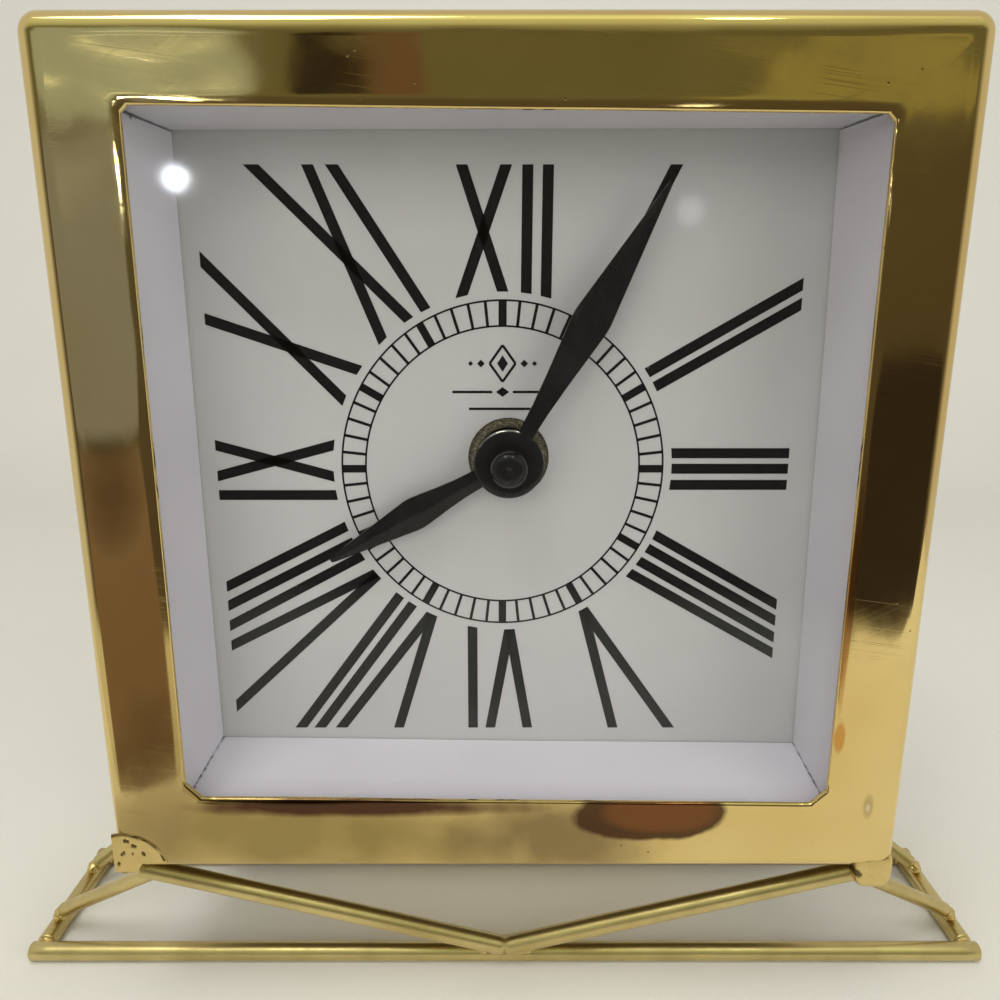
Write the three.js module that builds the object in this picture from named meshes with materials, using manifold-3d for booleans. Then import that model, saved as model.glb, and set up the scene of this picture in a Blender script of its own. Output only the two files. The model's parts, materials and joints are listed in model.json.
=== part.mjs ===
// A mantel clock: a square brass case on an open base of brass rod, with a recessed dial behind
// glass and a quartz movement. Millimetres, +Z up, the dial faces -Y, and z = 0 is the table.
// "Depth" is measured backwards from the plane of the case's front face.
import * as THREE from 'three';
import { mergeVertices } from 'three/addons/utils/BufferGeometryUtils.js';
import Module from 'manifold-3d';

const wasm = await Module();
wasm.setup();

// ---- driving dimensions ----------------------------------------------------------------------
const GAP = 0.3;                 // clearance kept between pieces that touch
const CUT = 1;                   // how far a cutting tool runs past the face it cuts

const CASE_SIZE = 152;           // width and height of the case
const CASE_DEPTH = 60;
const CASE_BOTTOM = 33;          // height of the case's underside above the table
const SHEET = 1;                 // brass sheet thickness
const CASE_CORNER = 3.6;         // radius of the case's four long edges
const CASE_EDGE = 3;             // radius of the fold round the front face
// The window and the recess behind it were cut by hand and are not quite square. Their corners are
// measured from the case's middle, in order from the lower left through the lower right.
const WINDOW = [[-60.8, -60.1], [61.3, -61.5], [61.1, 60.7], [-60.5, 62]];
const WINDOW_CLIPS = [3, 3, 1.2, 1.2];  // each corner of the window is cut across
const RECESS_AT_GLASS = [[-62.8, -63.7], [62.8, -63.7], [62.8, 62.3], [-62.8, 62.3]];
const RECESS_AT_DIAL = [[-60.7, -59.7], [62.4, -61.2], [60.7, 62.4], [-60.7, 62.1]];

const GLASS_SIZE = 136;
const GLASS = 2;
const DIAL_DEPTH = 22.7;         // front face of the dial
const LINER = 1.5;               // thickness of the strips that line the recess
const CARD_SIZE = 147;
const CARD = 0.7;
const CARD_HOLE = 8;             // radius
const BOARD = 3;
const BLOCK = 10;                // section of the corner blocks
const PANEL_DEPTH = 56;
const PANEL = 2;
const PANEL_SIZE = 149.2;
const ACCESS = 66;               // square opening in the back panel

const ROD = 2;                   // radius of the rails and V struts
const SIDE_ROD = 1.6;            // radius of the side struts
const RAIL_HALF_LENGTH = 104;
const RAIL_Y = 16;
const SIDE_RAIL_X = 102;
const RAIL_SIDES = 16;
const RAIL_Z = ROD * Math.cos(Math.PI / RAIL_SIDES);  // the rails rest on one flat of their outline

const ARBOR_X = 0.7;             // the arbor's hole sits a little off the case's centre
const ARBOR_UP = 1.6;
const MINUTE_ANGLE = 29.4;       // clockwise from twelve
const HOUR_ANGLE = 240.5;
const MINUTE_REACH = 58.5;
const HOUR_REACH = 41;
const BOSS = 6.7;                // radius of the minute hand's boss

const HOUSING = 56;
const HOUSING_DEPTH = 28.3;      // depth of the movement's front face
const HOUSING_THICK = 16;
const HOUSING_SPLIT = 10;        // the two half shells meet at this level of the movement
const WALL = 1.2;
const BAY_TOP = -11.7;           // top of the battery bay, below the arbor
const ARBOR = 1.6;               // radius of the minute arbor
const PIPE = 2.6;                // outer radius of the hour wheel's pipe
const BUSH = 4;                  // outer radius of the threaded bush

const FRONT = -CASE_DEPTH / 2;
const CASE_HALF = CASE_SIZE / 2;
const INNER_HALF = CASE_HALF - SHEET;
const CENTRE_Z = CASE_BOTTOM + CASE_HALF;
const ARBOR_Z = CENTRE_Z + ARBOR_UP;
const BOARD_DEPTH = DIAL_DEPTH + CARD + GAP;

// ---- materials -------------------------------------------------------------------------------
const finish = (color, roughness, metalness) => ({ color, roughness, metalness });
const POLISHED_BRASS = finish(0xc9a24e, 0.18, 1);
const SATIN_BRASS = finish(0xa98a48, 0.38, 1);
const BRAZE = finish(0x9a8450, 0.5, 1);
const GLASS_CLEAR = finish(0xeef4f6, 0.05, 0);
const WHITE_STRIP = finish(0xd6d2de, 0.55, 0);
const DIAL_WHITE = finish(0xd9d9d6, 0.6, 0);
const MDF = finish(0x8a6a45, 0.85, 0);
const PINE = finish(0xb9925e, 0.8, 0);
const PANEL_BLACK = finish(0x1c1b1a, 0.7, 0);
const HAND_BLACK = finish(0x0b0b0d, 0.2, 0);
const BLACK_PLASTIC = finish(0x141416, 0.45, 0);
const WHITE_PLASTIC = finish(0xe4e2da, 0.45, 0);
const STEEL = finish(0x9a9ca0, 0.35, 1);
const COPPER_WIRE = finish(0xa4552a, 0.4, 1);
const RUBBER = finish(0x1a1a1a, 0.9, 0);
const BOARD_GREEN = finish(0x2c6b3a, 0.5, 0);
const CELL_JACKET = finish(0x5d6a74, 0.35, 0);

const clock = new THREE.Group();

function add(name, look, geometry) {
  const mesh = new THREE.Mesh(geometry, new THREE.MeshStandardMaterial(look));
  mesh.name = name;
  clock.add(mesh);
}

// ---- booleans --------------------------------------------------------------------------------
function toSolid(geometry) {
  const bare = geometry.clone();
  bare.deleteAttribute('normal');
  bare.deleteAttribute('uv');
  const merged = mergeVertices(bare, 1e-4);
  return new wasm.Manifold(new wasm.Mesh({
    numProp: 3,
    vertProperties: new Float32Array(merged.attributes.position.array),
    triVerts: new Uint32Array(merged.index.array),
  }));
}

function toGeometry(solid) {
  const mesh = solid.getMesh();
  const geometry = new THREE.BufferGeometry();
  geometry.setAttribute('position', new THREE.BufferAttribute(mesh.vertProperties, 3));
  geometry.setIndex(new THREE.BufferAttribute(mesh.triVerts, 1));
  return geometry;
}

function join(...geometries) {
  return toGeometry(geometries.map(toSolid).reduce((sum, solid) => sum.add(solid)));
}

function cut(geometry, ...tools) {
  return toGeometry(tools.map(toSolid).reduce((rest, tool) => rest.subtract(tool), toSolid(geometry)));
}

// ---- basic shapes ----------------------------------------------------------------------------
function squareShape(half, corner = 0) {
  const shape = new THREE.Shape();
  const quarter = Math.PI / 2;
  const inner = half - corner;
  if (corner === 0) {
    shape.moveTo(half, -half).lineTo(half, half).lineTo(-half, half).lineTo(-half, -half);
    return shape;
  }
  shape.absarc(inner, inner, corner, 0, quarter);
  shape.absarc(-inner, inner, corner, quarter, 2 * quarter);
  shape.absarc(-inner, -inner, corner, 2 * quarter, 3 * quarter);
  shape.absarc(inner, -inner, corner, 3 * quarter, 4 * quarter);
  shape.closePath();
  return shape;
}

function polygon(points) {
  return new THREE.Shape(points.map(([x, z]) => new THREE.Vector2(x, z)));
}

function clipped(corners, clips) {
  const towards = ([x, z], [toX, toZ], length) => {
    const share = length / Math.hypot(toX - x, toZ - z);
    return [x + (toX - x) * share, z + (toZ - z) * share];
  };
  return polygon(corners.flatMap((corner, i) => [
    towards(corner, corners[(i + 3) % 4], clips[i]),
    towards(corner, corners[(i + 1) % 4], clips[i]),
  ]));
}

function withHole(shape, radius, x = 0, z = 0) {
  shape.holes.push(new THREE.Path().absarc(x, z, radius, 0, 2 * Math.PI, true));
  return shape;
}

// A shape drawn in X and Z becomes a plate between two depths.
function plate(shape, front, back, curveSegments = 6) {
  const depth = back - front;
  const geometry = new THREE.ExtrudeGeometry(shape, { depth, bevelEnabled: false, curveSegments });
  return geometry.rotateX(Math.PI / 2).translate(0, FRONT + back, 0);
}

function centred(geometry) {
  return geometry.translate(0, 0, CENTRE_Z);
}

function onArbor(geometry, x = 0, z = 0) {
  return geometry.translate(ARBOR_X + x, 0, ARBOR_Z + z);
}

function block(x0, x1, front, back, z0, z1) {
  const geometry = new THREE.BoxGeometry(x1 - x0, back - front, z1 - z0);
  return geometry.translate((x0 + x1) / 2, FRONT + (front + back) / 2, (z0 + z1) / 2);
}

function disc(radius, front, back, segments = 24) {
  const geometry = new THREE.CylinderGeometry(radius, radius, back - front, segments);
  return geometry.translate(0, FRONT + (front + back) / 2, 0);
}

// A solid of revolution about the Y axis, from [radius, depth] pairs in order of depth.
function turned(profile, segments = 24) {
  const points = profile.map(([radius, depth]) => new THREE.Vector2(radius, FRONT + depth));
  return new THREE.LatheGeometry(points, segments);
}

function ring(inner, outer, front, back, segments = 24) {
  return turned([[inner, front], [outer, front], [outer, back], [inner, back], [inner, front]], segments);
}

// A box with every edge rounded except those of its back face, which is open past the cut.
function foldedBox(half, corner, edge, front, back) {
  const geometry = new THREE.ExtrudeGeometry(squareShape(half, corner), {
    depth: back - front + CUT,
    bevelSize: edge,
    bevelOffset: -edge,
    bevelThickness: edge,
    bevelSegments: 4,
    curveSegments: 5,
  });
  geometry.rotateX(Math.PI / 2).translate(0, FRONT + back + edge + CUT, 0);
  const reach = 2 * half;
  return cut(geometry, block(-reach, reach, back, back + reach, -reach, reach));
}

function rodBetween(start, end, radius, segments) {
  const from = new THREE.Vector3(...start);
  const to = new THREE.Vector3(...end);
  const run = to.clone().sub(from);
  const geometry = new THREE.CylinderGeometry(radius, radius, run.length(), segments);
  geometry.rotateY(Math.PI / segments);
  const up = new THREE.Vector3(0, 1, 0);
  const turn = new THREE.Quaternion().setFromUnitVectors(up, run.clone().normalize());
  return geometry.applyQuaternion(turn).translate(...from.add(to).multiplyScalar(0.5).toArray());
}

// ---- case ------------------------------------------------------------------------------------
const outerBox = foldedBox(CASE_HALF, CASE_CORNER, CASE_EDGE, 0, CASE_DEPTH);
const hollow = foldedBox(INNER_HALF, CASE_CORNER - SHEET, CASE_EDGE - SHEET, SHEET, CASE_DEPTH + CUT);
const windowCut = plate(clipped(WINDOW, WINDOW_CLIPS), -CUT, SHEET + CUT);
add('case_shell', POLISHED_BRASS, centred(cut(outerBox, hollow, windowCut)));

const glassFront = SHEET + GAP;
const glassBack = glassFront + GLASS;
add('front_glass', GLASS_CLEAR, centred(plate(squareShape(GLASS_SIZE / 2), glassFront, glassBack)));

const linerFront = glassBack + GAP;
const linerBack = DIAL_DEPTH - GAP;

// Each strip runs between two corners of the recess. The upper and lower strips pass over the ends
// of the left and right ones.
const STRIP_ENDS = { top: [3, 2], bottom: [0, 1], left: [0, 3], right: [1, 2] };

function lining(side) {
  const upright = side === 'left' || side === 'right';
  const sign = side === 'top' || side === 'right' ? 1 : -1;
  const geometry = new THREE.BoxGeometry();
  const corners = geometry.attributes.position;
  for (let i = 0; i < corners.count; i += 1) {
    const across = upright ? corners.getX(i) : corners.getZ(i);
    const along = upright ? corners.getZ(i) : corners.getX(i);
    const atDial = corners.getY(i) > 0;
    const end = along > 0 ? 1 : 0;
    const [x, z] = (atDial ? RECESS_AT_DIAL : RECESS_AT_GLASS)[STRIP_ENDS[side][end]];
    const depth = FRONT + (atDial ? linerBack : linerFront);
    const outer = across * sign > 0 ? sign * LINER : 0;
    if (upright) corners.setXYZ(i, x + outer, depth, z + (end ? -GAP : GAP));
    else corners.setXYZ(i, x + (end ? LINER : -LINER), depth, z + outer);
  }
  return geometry;
}

for (const side of Object.keys(STRIP_ENDS)) {
  add(`liner_${side}`, WHITE_STRIP, centred(lining(side)));
}

// ---- dial ------------------------------------------------------------------------------------
const sheetCorner = 3;
const cardShape = withHole(squareShape(CARD_SIZE / 2, sheetCorner), CARD_HOLE, ARBOR_X, ARBOR_UP);
add('dial_card', DIAL_WHITE, centred(plate(cardShape, DIAL_DEPTH, DIAL_DEPTH + CARD)));

const boardShape = withHole(squareShape(CARD_SIZE / 2, sheetCorner), BUSH + GAP, ARBOR_X, ARBOR_UP);
const boardBack = BOARD_DEPTH + BOARD;
add('dial_board', MDF, centred(plate(boardShape, BOARD_DEPTH, boardBack)));

// ---- corner blocks, back panel and its screws --------------------------------------------------
const blockOuter = INNER_HALF - GAP;
const blockInner = blockOuter - BLOCK;
const blockClip = 1.5;
const blockMiddle = (blockOuter + blockInner) / 2;
const pilotHole = 1.3;
const screwRadius = 1;
const screwPoint = 1;            // length of the screw's tapered tip
const screwTip = PANEL_DEPTH - 6;
const screwHead = [[2.6, 0], [2.4, 0.7], [1.4, 1.2], [0, 1.3]];  // radius and height above the panel
const accessCorner = 4;
const panelBack = PANEL_DEPTH + PANEL;

function cornerBlock(sx, sz) {
  const outline = [
    [blockInner, blockInner], [blockOuter, blockInner], [blockOuter, blockOuter - blockClip],
    [blockOuter - blockClip, blockOuter], [blockInner, blockOuter],
  ].map(([x, z]) => [x * sx, z * sz]);
  const shape = polygon(sx * sz > 0 ? outline : outline.reverse());
  const hole = disc(pilotHole, screwTip - GAP, PANEL_DEPTH + CUT, 12);
  hole.translate(sx * blockMiddle, 0, sz * blockMiddle);
  return cut(plate(shape, boardBack + GAP, PANEL_DEPTH - GAP), hole);
}

function backScrew(sx, sz) {
  const headFront = panelBack + GAP;
  const screw = turned([
    [0, screwTip], [screwRadius, screwTip + screwPoint], [screwRadius, headFront],
    ...screwHead.map(([radius, height]) => [radius, headFront + height]),
  ], 16);
  return screw.translate(sx * blockMiddle, 0, sz * blockMiddle);
}

const panelShape = squareShape(PANEL_SIZE / 2, CASE_CORNER - SHEET);
panelShape.holes.push(new THREE.Path(squareShape(ACCESS / 2, accessCorner).getPoints(4).reverse()));
for (const sx of [-1, 1]) {
  for (const sz of [-1, 1]) {
    const place = `${sz > 0 ? 'top' : 'bottom'}_${sx > 0 ? 'right' : 'left'}`;
    add(`corner_block_${place}`, PINE, centred(cornerBlock(sx, sz)));
    add(`back_screw_${place}`, STEEL, centred(backScrew(sx, sz)));
    withHole(panelShape, pilotHole, sx * blockMiddle, sz * blockMiddle);
  }
}
add('back_panel', PANEL_BLACK, centred(plate(panelShape, PANEL_DEPTH, panelBack, 3)));

// ---- base of rods ------------------------------------------------------------------------------
// Each lower corner of the case has a brazed lump, a strut to the middle of the nearer long rail
// and a thinner strut to the side rail.
const strutTop = [71.6, -24.5, 29.4];
const strutFoot = [0.15, -RAIL_Y - 2.45, ROD + 3.55];
const sideTop = [69.3, -20.3, 27.2];
const sideFoot = [SIDE_RAIL_X - 1.6, -8, ROD + 3.95];
const lumpReach = 8.4;
const lumpCentre = [73.8, CASE_BOTTOM + 0.1];
const lumpSide = CASE_HALF + GAP;
const lumpInner = strutTop[0] + GAP;
const lumpBottom = 28.9;
const lumpProud = 0.6;
const beadBack = 8;

function rail(x0, y0, x1, y1) {
  return rodBetween([x0, y0, RAIL_Z], [x1, y1, RAIL_Z], ROD, RAIL_SIDES);
}

// A rod run a little past both of its end points, to be cut off square to the case by boxes.
function longRod(start, end, radius) {
  const past = 0.04;
  const stretch = (from, to) => from.map((value, i) => value + (value - to[i]) * past);
  return rodBetween(stretch(start, end), stretch(end, start), radius, RAIL_SIDES);
}

// Both kinds of strut are made at the front right and mirrored to the other corners.
const FAR = 200;
const beyond = (x0, x1) => block(x0, x1, -FAR, FAR, -FAR, FAR);
const frontStrut = cut(
  longRod(strutTop, strutFoot, ROD),
  beyond(strutTop[0], FAR),
  beyond(-FAR, strutFoot[0]),
);
const sideStrut = cut(
  longRod(sideTop, sideFoot, SIDE_ROD),
  beyond(-FAR, sideTop[0]),
  beyond(sideFoot[0], FAR),
);
const mirrored = (geometry, sx, sy) => toGeometry(toSolid(geometry).scale([sx, sy, 1]));

// Brazing metal fills the corner under the case beside the strut. On the left it has also run over
// the case's face as a thin round skin.
const bead = block(lumpInner, lumpSide, -lumpProud - GAP, beadBack, lumpBottom, CASE_BOTTOM - GAP);

function runSkin() {
  const [cx, cz] = lumpCentre;
  const start = Math.acos((lumpSide - cx) / lumpReach);
  const shape = new THREE.Shape();
  shape.moveTo(lumpSide, lumpBottom);
  shape.absarc(cx, cz, lumpReach, start, Math.PI);
  shape.lineTo(cx - lumpReach, CASE_BOTTOM);
  shape.lineTo(lumpInner, CASE_BOTTOM);
  shape.lineTo(lumpInner, lumpBottom);
  return plate(shape, -lumpProud - GAP, -GAP, 8);
}

add('rail_front', SATIN_BRASS, rail(-RAIL_HALF_LENGTH, -RAIL_Y, RAIL_HALF_LENGTH, -RAIL_Y));
add('rail_back', SATIN_BRASS, rail(-RAIL_HALF_LENGTH, RAIL_Y, RAIL_HALF_LENGTH, RAIL_Y));
const sideRailReach = RAIL_Y - ROD - GAP;
add('rail_left', SATIN_BRASS, rail(-SIDE_RAIL_X, -sideRailReach, -SIDE_RAIL_X, sideRailReach));
add('rail_right', SATIN_BRASS, rail(SIDE_RAIL_X, -sideRailReach, SIDE_RAIL_X, sideRailReach));
const lumps = { left: join(runSkin(), bead), right: bead };
for (const [end, sy] of [['front', 1], ['back', -1]]) {
  for (const [hand, sx] of [['left', -1], ['right', 1]]) {
    add(`strut_${end}_${hand}`, SATIN_BRASS, mirrored(frontStrut, sx, sy));
    add(`strut_side_${end}_${hand}`, SATIN_BRASS, mirrored(sideStrut, sx, sy));
    add(`braze_${end}_${hand}`, BRAZE, mirrored(lumps[hand], sx, sy));
  }
}

// ---- gears -------------------------------------------------------------------------------------
// Angles are anticlockwise from +X in the front view. A wheel's phase is the angle of one tooth.
const polar = (angle, radius) => [radius * Math.cos(angle), radius * Math.sin(angle)];
const degrees = (value) => (value * Math.PI) / 180;

const MOTION_MODULE = 0.7375;
const HOUR_MODULE = 0.59;
const TRAIN_MODULE = 0.4;
const CENTRE_MODULE = 0.31;
// Both pairs between the seconds and centre arbors span the same distance, with 68 and 72 teeth.
const THIRD_MODULE = (CENTRE_MODULE * 72) / 68;

// Each gear's levels are those of its front and back faces inside the movement.
const GEAR = {
  cannon: { teeth: 8, module: MOTION_MODULE, levels: [3.3, 4.5] },
  motionWheel: { teeth: 24, module: MOTION_MODULE, levels: [3.4, 4.4] },
  motionPinion: { teeth: 8, module: HOUR_MODULE, levels: [1.5, 3.8] },
  hourWheel: { teeth: 32, module: HOUR_MODULE, levels: [1.6, 2.6] },
  rotorPinion: { teeth: 8, module: TRAIN_MODULE, levels: [9, 10.8] },
  intermediateWheel: { teeth: 40, module: TRAIN_MODULE, levels: [9.2, 10] },
  intermediatePinion: { teeth: 8, module: TRAIN_MODULE, levels: [7.6, 9.4] },
  secondsWheel: { teeth: 48, module: TRAIN_MODULE, levels: [7.8, 8.6] },
  secondsPinion: { teeth: 8, module: THIRD_MODULE, levels: [6.2, 8] },
  thirdWheel: { teeth: 60, module: THIRD_MODULE, levels: [6.4, 7.2] },
  thirdPinion: { teeth: 8, module: CENTRE_MODULE, levels: [4.9, 6.6] },
  centreWheel: { teeth: 64, module: CENTRE_MODULE, levels: [5.1, 5.8] },
};

const centreDistance = (a, b) => (GEAR[a].module * (GEAR[a].teeth + GEAR[b].teeth)) / 2;
const MOTION_LINE = degrees(10);
const INTERMEDIATE_LINE = degrees(70);
const ROTOR_LINE = degrees(60);
const THIRD_LINE = degrees(135);
const MOTION_AT = polar(MOTION_LINE, centreDistance('cannon', 'motionWheel'));
const INTERMEDIATE_AT = polar(INTERMEDIATE_LINE, centreDistance('intermediatePinion', 'secondsWheel'));
const ROTOR_STEP = polar(ROTOR_LINE, centreDistance('rotorPinion', 'intermediateWheel'));
const ROTOR_AT = [INTERMEDIATE_AT[0] + ROTOR_STEP[0], INTERMEDIATE_AT[1] + ROTOR_STEP[1]];
const THIRD_AT = polar(THIRD_LINE, centreDistance('secondsPinion', 'thirdWheel'));

// The phase that puts gear b in mesh with gear a, when b lies along the line from a.
function meshed(a, phase, line, b) {
  const ratio = GEAR[a].teeth / GEAR[b].teeth;
  return line + Math.PI - (phase - line) * ratio + Math.PI / GEAR[b].teeth;
}

const phases = { cannon: 0, secondsWheel: 0, secondsPinion: 0, centreWheel: 0 };
phases.motionWheel = meshed('cannon', phases.cannon, MOTION_LINE, 'motionWheel');
phases.motionPinion = phases.motionWheel;
phases.hourWheel = meshed('motionPinion', phases.motionPinion, MOTION_LINE + Math.PI, 'hourWheel');
phases.intermediatePinion = meshed(
  'secondsWheel', phases.secondsWheel, INTERMEDIATE_LINE, 'intermediatePinion',
);
phases.intermediateWheel = phases.intermediatePinion;
phases.rotorPinion = meshed('intermediateWheel', phases.intermediateWheel, ROTOR_LINE, 'rotorPinion');
phases.thirdWheel = meshed('secondsPinion', phases.secondsPinion, THIRD_LINE, 'thirdWheel');
phases.thirdPinion = meshed('centreWheel', phases.centreWheel, THIRD_LINE, 'thirdPinion');

const ADDENDUM = 0.75;
const DEDENDUM = 1.15;
const TIP_THICKNESS = 0.18;      // of the circular pitch
const ROOT_THICKNESS = 0.56;

function gear(name, hole = 0) {
  const { teeth, module, levels: [front, back] } = GEAR[name];
  const pitchRadius = (teeth * module) / 2;
  const pitch = Math.PI * module;
  const root = pitchRadius - DEDENDUM * module;
  const tip = pitchRadius + ADDENDUM * module;
  const rootAngle = (ROOT_THICKNESS * pitch) / 2 / root;
  const tipAngle = (TIP_THICKNESS * pitch) / 2 / tip;
  const points = [];
  for (let i = 0; i < teeth; i += 1) {
    const middle = phases[name] + (2 * Math.PI * i) / teeth;
    points.push(polar(middle - rootAngle, root), polar(middle - tipAngle, tip));
    points.push(polar(middle + tipAngle, tip), polar(middle + rootAngle, root));
  }
  const shape = hole > 0 ? withHole(polygon(points), hole) : polygon(points);
  return plate(shape, HOUSING_DEPTH + front, HOUSING_DEPTH + back);
}

const shaft = (radius, front, back, segments = 12) => (
  disc(radius, HOUSING_DEPTH + front, HOUSING_DEPTH + back, segments)
);

// ---- movement: the hand side ---------------------------------------------------------------------
// Levels inside the movement are counted backwards from its front face.
const pivotFront = 0.8;          // arbors end inside shallow holes in both walls
const pivotBack = HOUSING_THICK - 0.8;
const handDepth = (above) => DIAL_DEPTH - above;
const minuteArborTip = handDepth(10);
const minuteArborEnd = HOUSING_DEPTH + 4.8;
const pipeTip = handDepth(5.4);
const [, pipeEnd] = GEAR.hourWheel.levels;

const arborBody = disc(ARBOR, minuteArborTip, minuteArborEnd, 20);
add('minute_arbor', STEEL, onArbor(join(arborBody, gear('cannon'))));

const pipeBore = ARBOR + GAP;
const pipe = ring(pipeBore, PIPE, pipeTip, HOUSING_DEPTH + pipeEnd, 20);
add('hour_wheel', WHITE_PLASTIC, onArbor(join(pipe, gear('hourWheel', pipeBore + GAP))));

const knobFront = HOUSING_THICK + GAP;
const motionShaft = 1;
const knobSocket = 3;            // how far the shaft reaches into the knob
const motionBody = join(
  shaft(motionShaft, pivotFront, knobFront + knobSocket),
  gear('motionWheel'),
  gear('motionPinion'),
);
add('motion_wheel', WHITE_PLASTIC, onArbor(motionBody, ...MOTION_AT));

const knobBore = motionShaft + GAP;
const knobNeck = 3;
const knobRim = 5;
const socketEnd = knobSocket + GAP;
const knobProfile = [
  [knobBore, 0], [knobNeck, 0], [knobNeck, 1], [knobRim, 1.4], [knobRim, 4], [knobRim - 0.6, 4.6],
  [0, 4.6], [0, socketEnd], [knobBore, socketEnd], [knobBore, 0],
].map(([radius, level]) => [radius, HOUSING_DEPTH + knobFront + level]);
add('set_knob', BLACK_PLASTIC, onArbor(turned(knobProfile, 20), ...MOTION_AT));

// ---- movement: the going train ---------------------------------------------------------------------
const thinArbor = 0.5;
const trainArbor = (from = pivotFront) => shaft(thinArbor, from, pivotBack, 8);
const centreBore = thinArbor + GAP;
const secondsArborFront = 5.3;
const rotorArborFront = 8.6;
add('centre_wheel', STEEL, onArbor(gear('centreWheel', centreBore)));
add('third_wheel', WHITE_PLASTIC, onArbor(join(
  trainArbor(),
  gear('thirdPinion'),
  gear('thirdWheel'),
), ...THIRD_AT));
add('seconds_wheel', WHITE_PLASTIC, onArbor(join(
  trainArbor(secondsArborFront),
  gear('secondsPinion'),
  gear('secondsWheel'),
)));
add('intermediate_wheel', WHITE_PLASTIC, onArbor(join(
  trainArbor(),
  gear('intermediatePinion'),
  gear('intermediateWheel'),
), ...INTERMEDIATE_AT));
const magnet = 2.8;
const magnetLevels = [10.6, 12.8];
add('rotor', STEEL, onArbor(join(
  trainArbor(rotorArborFront),
  gear('rotorPinion'),
  shaft(magnet, ...magnetLevels, 16),
), ...ROTOR_AT));

// ---- movement: motor, circuit and cell -----------------------------------------------------------
const box = (x0, x1, front, back, z0, z1) => (
  block(x0, x1, HOUSING_DEPTH + front, HOUSING_DEPTH + back, z0, z1)
);
const coreZ = 23;                // the core and coil lie across the movement above the rotor
const coreLevel = 11.7;
const coreHalf = 1.1;
const coreEnd = -21;
const coreLevels = [11.2, 12.2];
const statorRadius = 5.4;
const magnetGap = 0.5;
const stator = cut(
  join(
    shaft(statorRadius, ...coreLevels, 24).translate(ROTOR_AT[0], 0, ROTOR_AT[1]),
    box(coreEnd, ROTOR_AT[0], ...coreLevels, coreZ - coreHalf, coreZ + coreHalf),
  ),
  shaft(magnet + magnetGap, coreLevels[0] - CUT, coreLevels[1] + CUT, 20)
    .translate(ROTOR_AT[0], 0, ROTOR_AT[1]),
);
add('stator', STEEL, onArbor(stator));

const coilRadius = 2.5;
const coilLength = 18;
const coilX = -10;
const coilRound = new THREE.CylinderGeometry(coilRadius, coilRadius, coilLength, 20).rotateZ(Math.PI / 2);
coilRound.translate(coilX, FRONT + HOUSING_DEPTH + coreLevel, coreZ);
const coilBore = box(
  coilX - coilLength, coilX + coilLength,
  coreLevels[0] - GAP, coreLevels[1] + GAP,
  coreZ - coreHalf - GAP, coreZ + coreHalf + GAP,
);
add('coil', COPPER_WIRE, onArbor(cut(coilRound, coilBore)));

const circuitFront = 12.9;
const circuitThick = 0.8;
const circuit = box(-25.8, -10, circuitFront, circuitFront + circuitThick, -9, 17);
add('circuit_board', BOARD_GREEN, onArbor(circuit));
const crystalLength = 6;
const crystalRadius = 1;
const crystal = new THREE.CylinderGeometry(crystalRadius, crystalRadius, crystalLength, 12);
crystal.rotateX(Math.PI / 2);
crystal.translate(-18, FRONT + HOUSING_DEPTH + circuitFront - crystalRadius - GAP, 5);
add('quartz_crystal', STEEL, onArbor(crystal));

const cellRadius = 7.1;
const cellLevel = 8.7;
const cellClearance = 0.45;
const cellZ = BAY_TOP - cellRadius - cellClearance;
const cellProfile = [
  [0, -24.6], [5.6, -24.6], [cellRadius, -24.1], [cellRadius, 23.2], [6.4, 23.7],
  [2.7, 23.7], [2.7, 25.2], [0, 25.2],
].map(([radius, along]) => new THREE.Vector2(radius, along));
const cell = new THREE.LatheGeometry(cellProfile, 24).rotateZ(-Math.PI / 2);
cell.translate(0, FRONT + HOUSING_DEPTH + cellLevel, cellZ);
add('battery', CELL_JACKET, onArbor(cell));

const bayInner = HOUSING / 2 - WALL;
const contactHalf = 5;
const contactBack = HOUSING_THICK - 1;
const contactInner = bayInner - 1.2;
const contact = (x0, x1) => (
  box(x0, x1, cellLevel - contactHalf, contactBack, cellZ - contactHalf, cellZ + contactHalf)
);
add('contact_negative', STEEL, onArbor(contact(-bayInner + GAP, -contactInner)));
add('contact_positive', STEEL, onArbor(contact(contactInner, bayInner - GAP)));

// ---- movement: housing, bush, washers and nut -----------------------------------------------------
const housingHalf = HOUSING / 2;
const partition = 1.1;           // wall between the train and the battery bay
const partitionTop = BAY_TOP + partition;
const bushTip = handDepth(3.3);
const backWall = HOUSING_THICK - WALL;
const pivotEase = 0.2;           // a pivot hole is this much wider than its arbor
const pivotFloor = 0.3;          // and this much deeper
const pivotHole = ([x, z], radius, front, back) => shaft(radius, front, back, 8).translate(x, 0, z);
const frontHole = (at, radius = thinArbor) => (
  pivotHole(at, radius + pivotEase, pivotFront - pivotFloor, WALL + CUT)
);
const backHole = (at) => (
  pivotHole(at, thinArbor + pivotEase, backWall - CUT, pivotBack + pivotFloor)
);

const housingFront = cut(
  join(
    box(-housingHalf, housingHalf, 0, HOUSING_SPLIT - GAP, -housingHalf, housingHalf),
    disc(BUSH, bushTip, HOUSING_DEPTH + CUT, 24),
  ),
  box(-bayInner, bayInner, WALL, HOUSING_SPLIT + CUT, partitionTop, bayInner),
  box(-bayInner, bayInner, WALL, HOUSING_SPLIT + CUT, -bayInner, BAY_TOP),
  disc(PIPE + GAP, bushTip - CUT, HOUSING_DEPTH + WALL + CUT, 20),
  frontHole(THIRD_AT),
  frontHole(INTERMEDIATE_AT),
  frontHole(MOTION_AT, motionShaft),
);
add('housing_front', BLACK_PLASTIC, onArbor(housingFront));

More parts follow.
